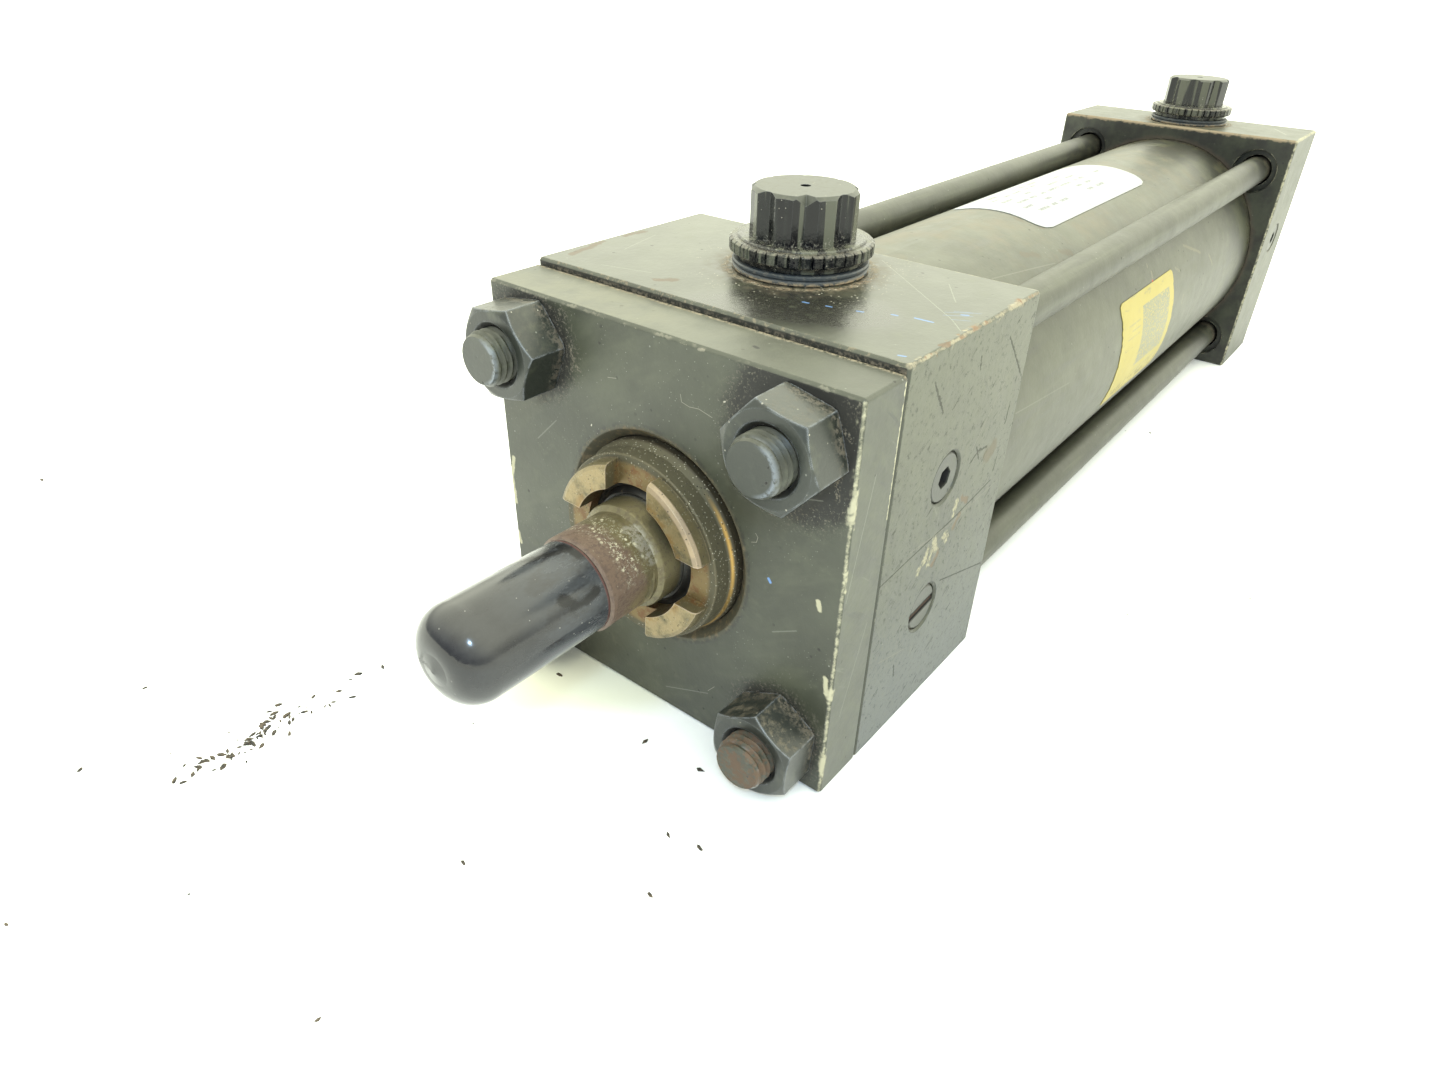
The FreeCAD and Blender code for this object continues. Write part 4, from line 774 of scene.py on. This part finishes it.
def rod_steel():
    """Ground chrome inside; outside the gland an olive film, then rust up to the protector."""
    shade = Shade("rod_steel")
    grain = shade.noise(0.5, 3.0, 0.65, 1.0)
    blot = shade.noise(1.8, 5.0, 0.7, 2.0)
    shade.color = shade.mix(grain, (0.25, 0.25, 0.245), (0.31, 0.31, 0.30))
    shade.rough = shade.blend(grain, 0.20, 0.28)
    shade.metal = 1.0
    outside = shade.x.step(2.6, 3.8)
    shade.coat(outside, (0.125, 0.108, 0.060), 0.42, 0.7)
    film = shade.x.step(6.4, 7.4)
    shade.coat(film * blot.step(0.40, 0.6) * 0.7, (0.165, 0.140, 0.080), 0.42, 0.6)
    tarnish = outside * shade.patches(0.8, 2.5, 0.50, 0.62, 5.0, 0.75)
    shade.coat(tarnish * 0.6, (0.060, 0.044, 0.028), 0.6, 0.3, 0.02)
    # Metal rubbed through the film near the shoulder, made light as a painted highlight on the upper +Y side.
    bare_and_highlight = shade.stroke([(7.7, 3.4, 6.3), (8.0, 5.0, 5.2), (7.7, 6.2, 3.6)], 1.5, 1.9, 3.0) * film
    bare_and_highlight = bare_and_highlight * shade.patches(0.6, 3.5, 0.36, 0.56, 4.0, 0.75)
    shade.coat(bare_and_highlight * 0.6, (0.46, 0.45, 0.41), 0.34, 0.85)
    rust_line = shade.x + (blot - 0.5) * 5.5 - shade.z * 0.28
    rust = rust_line.step(8.2, 10.2) * shade.x.step(6.8, 7.6)
    shade.coat(rust * 0.95, (0.105, 0.068, 0.050), 0.55, 0.2, 0.02)
    shade.coat(rust * shade.patches(0.7, 4.0, 0.46, 0.62, 5.0, 0.75) * 0.75, (0.060, 0.038, 0.030), 0.7, 0.1)
    flecks = shade.patches(0.40, 5.0, 0.53, 0.60, 5.0, 0.85) * shade.patches(1.5, 6.0, 0.42, 0.56)
    upper = shade.z.step(0.0, 4.0) * shade.x.step(8.0, 9.4) * shade.x.step(14.0, 12.0)
    flakes = shade.specks(0.75, 0.42, 6.2) * shade.patches(1.3, 6.4, 0.46, 0.56)
    shade.coat(flecks.most(flakes) * upper * 0.9, (0.56, 0.53, 0.40), 0.45, 0.5, -0.03)
    grains = shade.specks(0.5, 0.22, 6.5) * shade.patches(1.2, 6.8, 0.46, 0.58, 3.0, 0.7) * film
    shade.coat(grains * 0.6, (0.27, 0.24, 0.16), 0.6, 0.2, 0.02)
    lower = shade.z.step(0.5, -5.0) * shade.x.step(7.0, 8.0) * shade.x.step(13.0, 9.5)
    shade.coat(lower * blot.step(0.42, 0.56) * 0.7, (0.15, 0.125, 0.055), 0.5, 0.4)
    thread = shade.x.step(15.7, 16.2)
    shade.coat(thread, (0.20, 0.18, 0.16), 0.45, 0.7)
    shade.coat(thread * blot.step(0.48, 0.62) * 0.8, (0.13, 0.07, 0.04), 0.75, 0.1)
    shade.coat(grain, raised=0.012)
    return shade.finish()


def vinyl_black():
    """Glossy dip-moulded vinyl, dulled by handling, with black wiped patches near its mouth."""
    shade = Shade("vinyl_black")
    grain = shade.noise(0.6, 3.0, 0.7, 1.0)
    blot = shade.noise(4.0, 4.0, 0.65, 2.0, (0.6, 1, 1))
    shade.color = shade.mix(blot.step(0.35, 0.65), (0.012, 0.012, 0.014), (0.020, 0.020, 0.022))
    shade.rough = shade.blend(blot.step(0.35, 0.7), 0.10, 0.22)
    dull = shade.x.step(33.0, 21.0) * shade.noise(3.0, 4.0, 0.7, 3.0, (0.5, 1, 1)).step(0.34, 0.58)
    shade.coat(dull * 0.75, (0.042, 0.046, 0.053), 0.31)
    wiped = shade.strokes([
        [(24.5, -3.4, 6.0), (20.5, -0.8, 6.9), (17.4, 0.4, 6.8)],
        [(17.2, -0.6, 6.8), (16.6, 2.2, 6.5)], [(21.8, 6.4, 2.8), (19.6, 6.4, 2.6), (17.6, 6.3, 3.0)],
        [(22.8, 5.6, 4.4), (21.4, 6.2, 3.2)],
    ], 1.0, 0.9, 4.0)
    shade.coat(wiped * 0.95, (0.003, 0.003, 0.004), 0.30)
    smears = shade.noise(0.8, 4.0, 0.75, 5.0, (0.35, 1, 1)).step(0.56, 0.66) * shade.x.step(27.0, 18.0)
    shade.coat(smears * 0.3, (0.10, 0.10, 0.105), 0.45)
    mouth = shade.x.step(16.35, 16.1)
    shade.coat(mouth * 0.9, (0.060, 0.018, 0.014), 0.5)
    specks = shade.specks(1.2, 0.10, 6.0) * shade.patches(4.0, 7.0, 0.45, 0.58, 2.0, 0.5)
    shade.coat(specks * 0.8, (0.25, 0.24, 0.22), 0.7, raised=0.02)
    shade.coat(grain, raised=0.004)
    shade.coat(blot, raised=0.03)
    return shade.finish()


def plug_plastic(name, middle):
    """Black moulded nylon: a dull top, lint round the head's foot and in the knurls."""
    shade = Shade(name)
    low = block_top
    grain = shade.noise(0.5, 3.0, 0.65, middle[0])
    blot = shade.noise(2.4, 4.0, 0.65, middle[0] + 1)
    shade.color = shade.mix(blot.step(0.35, 0.65), (0.004, 0.005, 0.006), (0.010, 0.011, 0.011))
    shade.rough = shade.blend(blot, 0.05, 0.13)
    # Painted reflections: light olive and near-black streaks running down the head's facets.
    reflection_bands = shade.noise(1.9, 2.0, 0.5, middle[0] + 1.5, (1, 1, 0.06))
    shade.coat(reflection_bands.step(0.49, 0.55) * 0.9, (0.088, 0.090, 0.066), 0.26)
    shade.coat(reflection_bands.step(0.46, 0.40) * 0.85, (0.002, 0.002, 0.004), 0.06)
    top = shade.facing[2].step(0.25, 0.5) * shade.z.step(low + 8.0, low + 9.0)
    shade.coat(top * 0.9, (0.050, 0.052, 0.043), 0.46)
    shade.coat(top * shade.patches(1.2, middle[0] + 2, 0.5, 0.7, 3.0, 0.7) * 0.5, (0.085, 0.083, 0.065), 0.58)
    foot = (shade.z + (shade.noise(0.8, 4.0, 0.75, middle[0] + 3) - 0.5) * 3.4).step(low + 6.4, low + 4.9)
    lint = foot * shade.patches(0.35, middle[0] + 4, 0.52, 0.66, 3.0, 0.7)
    lint = lint * shade.z.step(low + 4.3, low + 4.8)
    shade.coat(lint * 0.5, (0.30, 0.28, 0.23), 0.85, raised=0.05)
    flange = shade.z.step(low + 5.0, low + 4.6) * shade.patches(0.7, middle[0] + 5, 0.45, 0.6, 4.0, 0.75)
    shade.coat(flange * 0.3, (0.095, 0.090, 0.075), 0.7, raised=0.04)
    rim = shade.z.near(low + 4.35, 0.35) * shade.patches(0.6, middle[0] + 6, 0.4, 0.55, 3.0, 0.7)
    shade.coat(rim * 0.4, (0.20, 0.175, 0.135), 0.85, raised=0.04)
    bottom_lip = shade.z.near(low + 2.65, 0.3) * shade.patches(1.4, middle[0] + 7, 0.5, 0.6, 3.0, 0.7)
    shade.coat(bottom_lip * 0.7, (0.30, 0.27, 0.22), 0.8)
    # A painted highlight: bluish grey on the upper edges of the head.
    edge = shade.worn_edge(0.25)
    shade.coat(edge * shade.z.step(low + 5.5, low + 6.5) * 0.5, (0.15, 0.155, 0.16), 0.30)
    specks = shade.specks(0.9, 0.12, middle[0] + 8) * shade.patches(2.6, middle[0] + 9, 0.48, 0.6, 2.0, 0.5)
    shade.coat(specks * 0.8, LINT, 0.8, raised=0.03)
    shade.coat(grain, raised=0.012)
    return shade.finish(0.15, Specular_IOR_Level=0.32)


def seal_ring(name):
    shade = Shade(name)
    grain = shade.noise(0.5, 3.0, 0.7, 1.0)
    shade.color = shade.mix(grain, (0.020, 0.026, 0.032), (0.040, 0.048, 0.056))
    shade.rough = shade.blend(grain, 0.35, 0.55)
    dust = shade.patches(0.9, 2.0, 0.52, 0.64, 4.0, 0.75)
    shade.coat(dust * 0.35, (0.16, 0.14, 0.11), 0.85, raised=0.04)
    foot = shade.z.step(block_top + 0.7, block_top + 0.25)
    shade.coat(foot * shade.patches(0.8, 3.0, 0.4, 0.55), TAN, 0.85, raised=0.05)
    shade.coat(grain, raised=0.02)
    return shade.finish()


def screw_paint():
    shade = paint("screw_paint", 200.0, base=(0.045, 0.047, 0.040), rough=0.40, edge=0.0, grain_size=0.4)
    # Painted shade in the gap round the screw: its edges go dark.
    edge = shade.worn_edge(0.2) * shade.patches(1.0, 211.0, 0.4, 0.6, 3.0, 0.6)
    shade.coat(edge * 0.85, GRIME_AND_SHADE, 0.8)
    # Painted shade on the faces sunk below the side face, such as the slot's floor.
    recess_shade = shade.y.step(side - 0.35, side - 0.9) * sideways(shade)
    shade.coat(recess_shade * 0.8, GRIME_AND_SHADE, 0.6)
    # Painted shade inside the slot, with a brown tint near the screw's middle.
    inside = (1.0 - sideways(shade)) * shade.y.step(side - 0.35, side - 0.5)
    inside = inside * shade.y.step(side - 4.5, side - 3.5)
    slotted = shade.around(head_check, 1).step(5.0, 4.0)
    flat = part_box("head_check_plug")[1].y / MM
    # A painted shadow: a dark band along the slot on the screw's face, so the slot looks wider.
    slot_shadow = shade.stroke([(-22.0, flat, -11.8), (-28.6, flat, -11.2)], 1.05, 0.12, 212.0)
    shade.coat(slot_shadow, (0.003, 0.002, 0.002), 1.0, raised=-0.35)
    shade.coat(inside * 0.9, (0.006, 0.005, 0.005), 0.6)
    shade.coat(inside * slotted * 0.8, (0.060, 0.032, 0.020), 0.7)
    return shade.finish(0.1)


def label_sheet(name, base, bars, bar_color, middle_angle, seed):
    """A printed label with grey bars in place of its text.

    A bar is (start, end, low, high, strength): along X, then round the tube from the label's
    middle, in millimetres.
    """
    shade = Shade(name)
    grain = shade.noise(0.5, 3.0, 0.6, seed)
    cloud = shade.noise(7.0, 4.0, 0.65, seed + 1)
    shade.color = shade.mix(cloud.step(0.4, 0.7) * 0.5, base, tuple(c * 0.9 for c in base))
    shade.rough = shade.blend(cloud, 0.48, 0.62)
    around = round_tube(shade, middle_angle)
    fade = shade.patches(0.35, seed + 2, 0.62, 0.50, 2.0, 0.6)
    for start, end, low, high, strength in bars:
        inside = shade.x.step(start, start + 0.2) * shade.x.step(end, end - 0.2)
        inside = inside * around.step(low, low + 0.12) * around.step(high, high - 0.12)
        shade.coat(inside * fade * strength, bar_color, 0.4)
    dirt = shade.patches(2.2, seed + 3, 0.56, 0.72, 5.0, 0.75)
    shade.coat(dirt * 0.35, (0.20, 0.18, 0.12), 0.6)
    spots = shade.specks(1.8, 0.1, seed + 4) * shade.patches(6.0, seed + 5, 0.5, 0.62, 2.0, 0.5)
    shade.coat(spots * 0.7, (0.14, 0.12, 0.09), 0.7)
    shade.coat(grain, raised=0.006)
    shade.coat(cloud, raised=0.05)
    return shade


def white_label():
    bars = []
    draw = random.Random(5)
    for row in range(6):
        x = -160.0 + draw.uniform(0, 3)
        low = -7.4 + row * 2.5
        while x < -112.0:
            length = draw.uniform(1.6, 6.0)
            if draw.random() < 0.72 and len(bars) < 34:
                bars.append((x, min(x + length, -109.5), low, low + (1.0 if row else 1.5), 0.75))
            x += length + draw.uniform(0.8, 2.6)
    shade = label_sheet("white_label", (0.295, 0.305, 0.325), bars, (0.025, 0.027, 0.032), 0.0, 220.0)
    return shade.finish()


def yellow_label():
    bars = [
        (-144.8, -126.0, -8.2, 5.4, 0.95), (-144.4, -128.0, 7.0, 7.5, 0.5),
        (-143.2, -130.5, 8.4, 8.9, 0.5), (-124.6, -117.0, -6.0, -5.5, 0.5),
        (-124.6, -119.0, -4.6, -4.1, 0.5), (-124.6, -116.4, -3.2, -2.7, 0.4),
    ]
    shade = label_sheet("yellow_label", (0.31, 0.255, 0.064), bars, (0.115, 0.12, 0.080), yellow_middle,
                        240.0)
    around = round_tube(shade, yellow_middle)
    torn = around.step(6.0, 10.5) * shade.patches(1.8, 251.0, 0.48, 0.6, 4.0, 0.75)
    shade.coat(torn * 0.8, (0.11, 0.10, 0.06), 0.7, raised=-0.05)
    scuffs = shade.noise(2.2, 4.0, 0.7, 252.0, (0.3, 1, 1)).step(0.60, 0.70)
    shade.coat(scuffs * 0.6, (0.16, 0.155, 0.10), 0.6)
    return shade.finish()


STEEL = (0.50, 0.47, 0.40)
materials = {
    "tie_rod_steel": tie_rod_paint(),
    "nut_steel": nut_paint(),
    "gland_bronze": gland_bronze(),
    "wiper_rubber": wiper_rubber(),
    "seal_rubber": simple("seal_rubber", (0.025, 0.025, 0.025), 0.55),
    "cushion_seal_bronze": simple("cushion_bronze", (0.45, 0.33, 0.17), 0.4, 1.0),
    "wear_ring_plastic": simple("wear_ring_plastic", (0.32, 0.25, 0.15), 0.5),
    "rod_steel": rod_steel(),
    "piston_iron": simple("piston_iron", (0.2, 0.2, 0.2), 0.4, 0.9),
    "cushion_steel": simple("cushion_steel", STEEL, 0.3, 1.0),
    "screw_steel": screw_paint(),
    "ball_steel": simple("ball_steel", (0.6, 0.6, 0.6), 0.12, 1.0),
    "vinyl_black": vinyl_black(),
    "tube_paint": tube_paint(),
    "white_label_paper": white_label(),
    "yellow_label_paper": yellow_label(),
}
own_materials = {
    "retainer_plate": plate_paint(),
    "head_block": head_paint(),
    "cap_block": cap_paint(),
    "head_port_plug": plug_plastic("head_plug_nylon", plug_middles[0]),
    "cap_port_plug": plug_plastic("cap_plug_nylon", plug_middles[1]),
    "head_plug_ring": seal_ring("head_ring_rubber"),
    "cap_plug_ring": seal_ring("cap_ring_rubber"),
}

slots = {part["node"]: part["material_slot"] for part in frame["record"]["subparts"]}
for name, thing in nodes.items():
    thing.data.materials.clear()
    thing.data.materials.append(own_materials.get(name) or materials[slots[name]])


def add_piece(name, points, faces, body, node, sharp=32.0):
    """A detailed piece in place of a CAD node; points are in millimetres."""
    mesh = bpy.data.meshes.new(name)
    mesh.from_pydata([Vector(point) * MM for point in points], [], faces)
    mesh.validate()
    for polygon in mesh.polygons:
        polygon.use_smooth = True
    mesh.set_sharp_from_angle(angle=math.radians(sharp))
    mesh.materials.append(materials[slots[node]])
    piece = bpy.data.objects.new(name, mesh)
    bpy.context.scene.collection.objects.link(piece)
    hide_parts(node)
    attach(piece, body)
    return piece


THREAD_LAND = 0.12                     # half the crest, and half the root, over half the pitch
ROWS_PER_PITCH = 7


def thread_cut(x, angle, pitch):
    """Share of the thread's depth cut away at that place: 0 on a crest and 1 in a root."""
    phase = (x / pitch - angle / (2 * math.pi)) % 1.0
    flank = 1 - 2 * THREAD_LAND
    return min(max((abs(2 * phase - 1) - THREAD_LAND) / flank, 0.0), 1.0)


def add_turned(name, node, body, stations, middle, pitch, depth, segments, flats=None):
    """A turned and threaded bar along X. Stations are (x, radius, thread share)."""
    rows = [stations[0]]
    for (x0, r0, t0), (x1, r1, t1) in zip(stations, stations[1:]):
        steps = max(1, round((x1 - x0) / (pitch / ROWS_PER_PITCH))) if t0 or t1 else 1
        for step in range(1, steps + 1):
            share = step / steps
            rows.append((x0 + (x1 - x0) * share, r0 + (r1 - r0) * share, t0 + (t1 - t0) * share))
    points, faces = [], []
    for x, radius, thread in rows:
        for index in range(segments):
            angle = 2 * math.pi * index / segments
            here = radius - depth * thread * thread_cut(x, angle, pitch)
            if flats and flats["from"] < x < flats["to"]:
                turn = abs(math.cos(angle - flats["turn"]))
                here = min(here, flats["reach"] / max(turn, 1e-6))
            points.append((x, middle[0] + here * math.cos(angle), middle[1] + here * math.sin(angle)))
    for row in range(len(rows) - 1):
        for index in range(segments):
            after = (index + 1) % segments
            base, above = row * segments, (row + 1) * segments
            faces.append((base + index, base + after, above + after, above + index))
    faces.append(tuple(reversed(range(segments))))
    last = (len(rows) - 1) * segments
    faces.append(tuple(last + index for index in range(segments)))
    return add_piece(name, points, faces, body, node)


def add_tie_rods():
    """Tie rods with rolled threads, 5/16-24, at both ends."""
    pitch, depth, crest, shank, end_r, chamfer = 25.4 / 24, 0.62, 3.97, 3.6, 3.44, 0.9
    head_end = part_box("head_block")[1].x / MM - 8.0
    cap_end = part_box("cap_block")[1].x / MM - 8.0
    for number in (1, 2, 3, 4):
        node = f"tie_rod_{number}"
        low, high = (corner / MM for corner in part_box(node))
        middle = ((low.y + high.y) / 2, (low.z + high.z) / 2)
        stations = [
            (low.x, end_r, 0.0), (low.x + 0.25, end_r + 0.15, 0.1), (low.x + chamfer, crest, 0.85),
            (cap_end - 1.5, crest, 0.85), (cap_end, crest, 0.0), (cap_end + 0.4, shank, 0.0),
            (head_end - 0.4, shank, 0.0), (head_end, crest, 0.0), (head_end + 1.5, crest, 0.85),
            (high.x - chamfer, crest, 0.85), (high.x - 0.25, end_r + 0.15, 0.1), (high.x, end_r, 0.0),
        ]
        add_turned(f"threaded_{node}", node, "barrel", stations, middle, pitch, depth, 36)


def add_rod():
    """Piston rod with wrench flats on its neck and a 7/16-20 thread under the protector."""
    low, high = (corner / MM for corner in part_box("piston_rod"))
    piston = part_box("piston")[1].x / MM
    shoulder, neck_start, neck_end, thread_start = 6.3, 7.1, 15.5, 15.85
    rod_r, neck_r, tail_r, thread_r = high.y, 7.1, 6.35, 5.556
    stations = [
        (low.x, tail_r - 0.8, 0.0), (low.x + 0.8, tail_r, 0.0), (piston - 0.02, tail_r, 0.0),
        (piston, rod_r, 0.0),
        (shoulder, rod_r, 0.0), (shoulder + 0.3, rod_r - 0.12, 0.0), (neck_start, neck_r, 0.0),
        (neck_start + 0.70, neck_r, 0.0), (neck_start + 0.76, neck_r, 0.0), (neck_end - 0.76, neck_r, 0.0),
        (neck_end - 0.70, neck_r, 0.0), (neck_end, neck_r, 0.0), (thread_start, neck_r - 0.35, 0.0),
        (thread_start + 0.02, thread_r - 0.6, 0.0), (thread_start + 0.6, thread_r, 0.6),
        (thread_start + 1.3, thread_r, 1.0), (high.x - 0.8, thread_r, 1.0), (high.x, thread_r - 0.8, 0.2),
    ]
    flats = {"from": neck_start + 0.73, "to": neck_end - 0.73, "turn": math.radians(-20.0), "reach": 6.35}
    add_turned("threaded_piston_rod", "piston_rod", "rod", stations, (0.0, 0.0), 1.27, 0.75, 72, flats)


def add_label(node, corner_r, ragged, seed):
    """A curved label sheet with rounded corners and an uneven edge."""
    low, high = (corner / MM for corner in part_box(node))
    outer_r = tube_r + label_thickness
    inner_r = tube_r + 0.015
    start, end = (math.radians(angle) * outer_r for angle in label_angles[node])
    draw = random.Random(seed)
    rows, columns = 40, 30
    bumps = [[draw.uniform(0, 1) for _ in range(rows + columns)] for _ in range(2)]
    points, faces = [], []
    for radius in (inner_r, outer_r):
        for row in range(rows + 1):
            across = start + (end - start) * row / rows
            from_edge = min(across - start, end - across)
            inset = 0.0
            if from_edge < corner_r:
                inset = corner_r - math.sqrt(max(corner_r ** 2 - (corner_r - from_edge) ** 2, 0.0))
            left = low.x + inset + ragged * bumps[0][row] ** 3
            right = high.x - inset - ragged * bumps[1][row] ** 3
            turn = across / outer_r
            for column in range(columns + 1):
                x = left + (right - left) * column / columns
                points.append((x, radius * math.sin(turn), radius * math.cos(turn)))
    sheet = (rows + 1) * (columns + 1)

    def at(layer, row, column):
        return layer * sheet + row * (columns + 1) + column

    for row in range(rows):
        for column in range(columns):
            quad = [(row, column), (row, column + 1), (row + 1, column + 1), (row + 1, column)]
            faces.append(tuple(at(1, *spot) for spot in reversed(quad)))
            faces.append(tuple(at(0, *spot) for spot in quad))
    rim = [(0, column) for column in range(columns)] + [(row, columns) for row in range(rows)]
    rim += [(rows, column) for column in range(columns, 0, -1)] + [(row, 0) for row in range(rows, 0, -1)]
    for here, after in zip(rim, rim[1:] + rim[:1]):
        faces.append((at(1, *here), at(1, *after), at(0, *after), at(0, *here)))
    return add_piece(f"{node}_sheet", points, faces, "barrel", node, 60.0)


def make_camera():
    """The viewpoint in front of the rod end, above and to its right."""
    eye = Vector((83.06, 76.77, 72.75)) * MM
    yaw, pitch, roll = (math.radians(a) for a in (217.74, -33.0, 1.82))
    ahead = Vector((math.cos(pitch) * math.cos(yaw), math.cos(pitch) * math.sin(yaw), math.sin(pitch)))
    level = ahead.cross(Vector((0, 0, 1))).normalized()
    rise = level.cross(ahead)
    right = math.cos(roll) * level + math.sin(roll) * rise
    up = -math.sin(roll) * level + math.cos(roll) * rise
    data = bpy.data.cameras.new("camera")
    data.lens = 23.03
    data.sensor_width = 36.0
    data.clip_start = 0.005
    camera = bpy.data.objects.new("camera", data)
    axes = Matrix((right, up, -ahead)).transposed()
    camera.matrix_world = Matrix.Translation(eye) @ axes.to_4x4()
    bpy.context.scene.collection.objects.link(camera)
    bpy.context.scene.camera = camera


def make_world():
    """A white tent: brightest overhead and behind, dimmer on the viewer's side and near the horizon."""
    world = bpy.data.worlds.new("tent")
    world.use_nodes = True
    tree = world.node_tree
    tree.nodes.clear()
    way = tree.nodes.new("ShaderNodeTexCoord").outputs["Generated"]
    dot = tree.nodes.new("ShaderNodeVectorMath")
    dot.operation = "DOT_PRODUCT"
    dot.inputs[1].default_value = Vector((-0.62, -0.1, 0.78)).normalized()
    tree.links.new(way, dot.inputs[0])
    ramp = tree.nodes.new("ShaderNodeValToRGB")
    ramp.color_ramp.interpolation = "EASE"
    ramp.color_ramp.elements[0].position = 0.25
    ramp.color_ramp.elements[0].color = (0.27, 0.29, 0.30, 1)
    ramp.color_ramp.elements[1].position = 0.85
    ramp.color_ramp.elements[1].color = (0.98, 1.0, 0.81, 1)
    half = tree.nodes.new("ShaderNodeMath")
    half.operation = "MULTIPLY_ADD"
    half.inputs[1].default_value = 0.5
    half.inputs[2].default_value = 0.5
    tree.links.new(dot.outputs["Value"], half.inputs[0])
    tree.links.new(half.outputs[0], ramp.inputs[0])
    split = tree.nodes.new("ShaderNodeSeparateXYZ")
    tree.links.new(way, split.inputs[0])
    level = tree.nodes.new("ShaderNodeMapRange")
    level.interpolation_type = "SMOOTHSTEP"
    level.inputs["From Min"].default_value = 0.08
    level.inputs["From Max"].default_value = 0.42
    level.inputs["To Min"].default_value = 2.1
    level.inputs["To Max"].default_value = 3.9
    tree.links.new(split.outputs[2], level.inputs["Value"])
    back = tree.nodes.new("ShaderNodeBackground")
    tree.links.new(ramp.outputs[0], back.inputs["Color"])
    tree.links.new(level.outputs["Result"], back.inputs["Strength"])
    out = tree.nodes.new("ShaderNodeOutputWorld")
    tree.links.new(back.outputs[0], out.inputs[0])
    bpy.context.scene.world = world
    bpy.context.scene.view_settings.view_transform = "Standard"


def make_front_light():
    """A small bluish lamp beside the viewer: the glint on the protector and on bright edges."""
    data = bpy.data.lights.new("front_lamp", "AREA")
    data.shape = "DISK"
    data.size = 0.016
    data.energy = 0.20
    data.color = (0.50, 0.74, 1.0)
    lamp = bpy.data.objects.new("front_lamp", data)
    place = Vector((0.125, 0.105, 0.150))
    aim = Vector((-0.01, 0.0, 0.0)) - place
    lamp.matrix_world = Matrix.Translation(place) @ aim.to_track_quat("-Z", "Y").to_matrix().to_4x4()
    bpy.context.scene.collection.objects.link(lamp)


def make_floor():
    """A pale light-table floor, with a soft warm shade under the rod."""
    mesh = bpy.data.meshes.new("floor")
    reach = 6.0
    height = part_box("head_block")[0].z
    corners = [(-reach, -reach, height), (reach, -reach, height), (reach, reach, height),
               (-reach, reach, height)]
    mesh.from_pydata(corners, [], [(0, 1, 2, 3)])
    floor = bpy.data.objects.new("floor", mesh)
    bpy.context.scene.collection.objects.link(floor)
    shade = Shade("floor_paper")
    grain = shade.noise(2.0, 3.0, 0.6)
    shade.color = shade.mix(grain, (0.83, 0.84, 0.86), (0.87, 0.88, 0.90))
    shade.rough = 0.6
    shade.coat(grain, raised=0.02)
    level = height / MM
    # A painted shadow of the rod and protector on the floor.
    warm = shade.stroke([(-2.0, -7.0, level), (10.0, -19.0, level)], 13.0)
    shade.coat(warm * 0.8, (0.66, 0.665, 0.52))
    fleck = shade.specks(9.0, 0.035, 3.0) * shade.patches(60.0, 4.0, 0.5, 0.6, 2.0, 0.5)
    shade.coat(fleck, (0.03, 0.03, 0.03))
    mesh.materials.append(shade.finish(Emission_Color=(0.86, 0.92, 1.0, 1.0), Emission_Strength=0.05))
    return height


CRUMB_COUNT = 90
CRUMBS = (45.7, -41.0)                 # the patch's middle, and the way it runs
CRUMB_WAY = (-0.999, 0.032)
STRAYS = [
    (35.9, -150.8), (64.5, 6.4), (51.9, -64.7), (40.5, 1.8), (18.4, 24.5), (28.2, 24.3),
    (19.5, 19.7), (6.4, -16.2), (-2.6, -15.8), (8.5, 5.2), (7.5, 15.4), (-157.1, 30.0),
    (0.0, 16.2), (2.5, 18.1), (82.1, -33.7), (65.9, -53.8),
]


def make_crumbs(floor_z):
    """Dark crumbs of old paint and dirt on the floor, in one patch and a few strays."""
    draw = random.Random(11)
    points, faces = [], []
    spots = []
    for _ in range(CRUMB_COUNT):
        along, across = draw.gauss(0, 6.5), draw.gauss(0, 1.7)
        spots.append((CRUMBS[0] + along * CRUMB_WAY[0] - across * CRUMB_WAY[1],
                      CRUMBS[1] + along * CRUMB_WAY[1] + across * CRUMB_WAY[0], draw.uniform(0.12, 0.5)))
    for x, y in STRAYS:
        spots.append((x, y, draw.uniform(0.25, 0.5)))
    for x, y, size in spots:
        first = len(points)
        sides = draw.choice((4, 5, 6))
        long_way = draw.uniform(0, math.pi)
        for level, width in ((0.0, 1.0), (0.55, 0.8)):
            for index in range(sides):
                turn = 2 * math.pi * index / sides + draw.uniform(-0.3, 0.3)
                reach = size * width * draw.uniform(0.7, 1.2)
                u, v = reach * math.cos(turn) * 1.7, reach * math.sin(turn) * 0.7
                points.append((x + u * math.cos(long_way) - v * math.sin(long_way),
                               y + u * math.sin(long_way) + v * math.cos(long_way), level * size))
        for index in range(sides):
            after = (index + 1) % sides
            faces.append((first + index, first + after, first + sides + after, first + sides + index))
        faces.append(tuple(first + sides + index for index in range(sides)))
        faces.append(tuple(first + index for index in reversed(range(sides))))
    mesh = bpy.data.meshes.new("crumbs")
    mesh.from_pydata([Vector(point) * MM + Vector((0, 0, floor_z)) for point in points], [], faces)
    shade = Shade("crumb_dirt")
    grain = shade.noise(0.6, 3.0, 0.7, 1.0)
    shade.color = shade.mix(grain.step(0.4, 0.6), (0.012, 0.012, 0.011), (0.075, 0.055, 0.035))
    shade.rough = 0.75
    shade.coat(grain, raised=0.05)
    mesh.materials.append(shade.finish())
    crumbs = bpy.data.objects.new("crumbs", mesh)
    bpy.context.scene.collection.objects.link(crumbs)


add_tie_rods()
add_rod()
add_label("white_label", 4.0, 0.12, 3)
add_label("yellow_label", 1.2, 0.5, 4)
make_camera()
make_world()
make_front_light()
make_crumbs(make_floor())
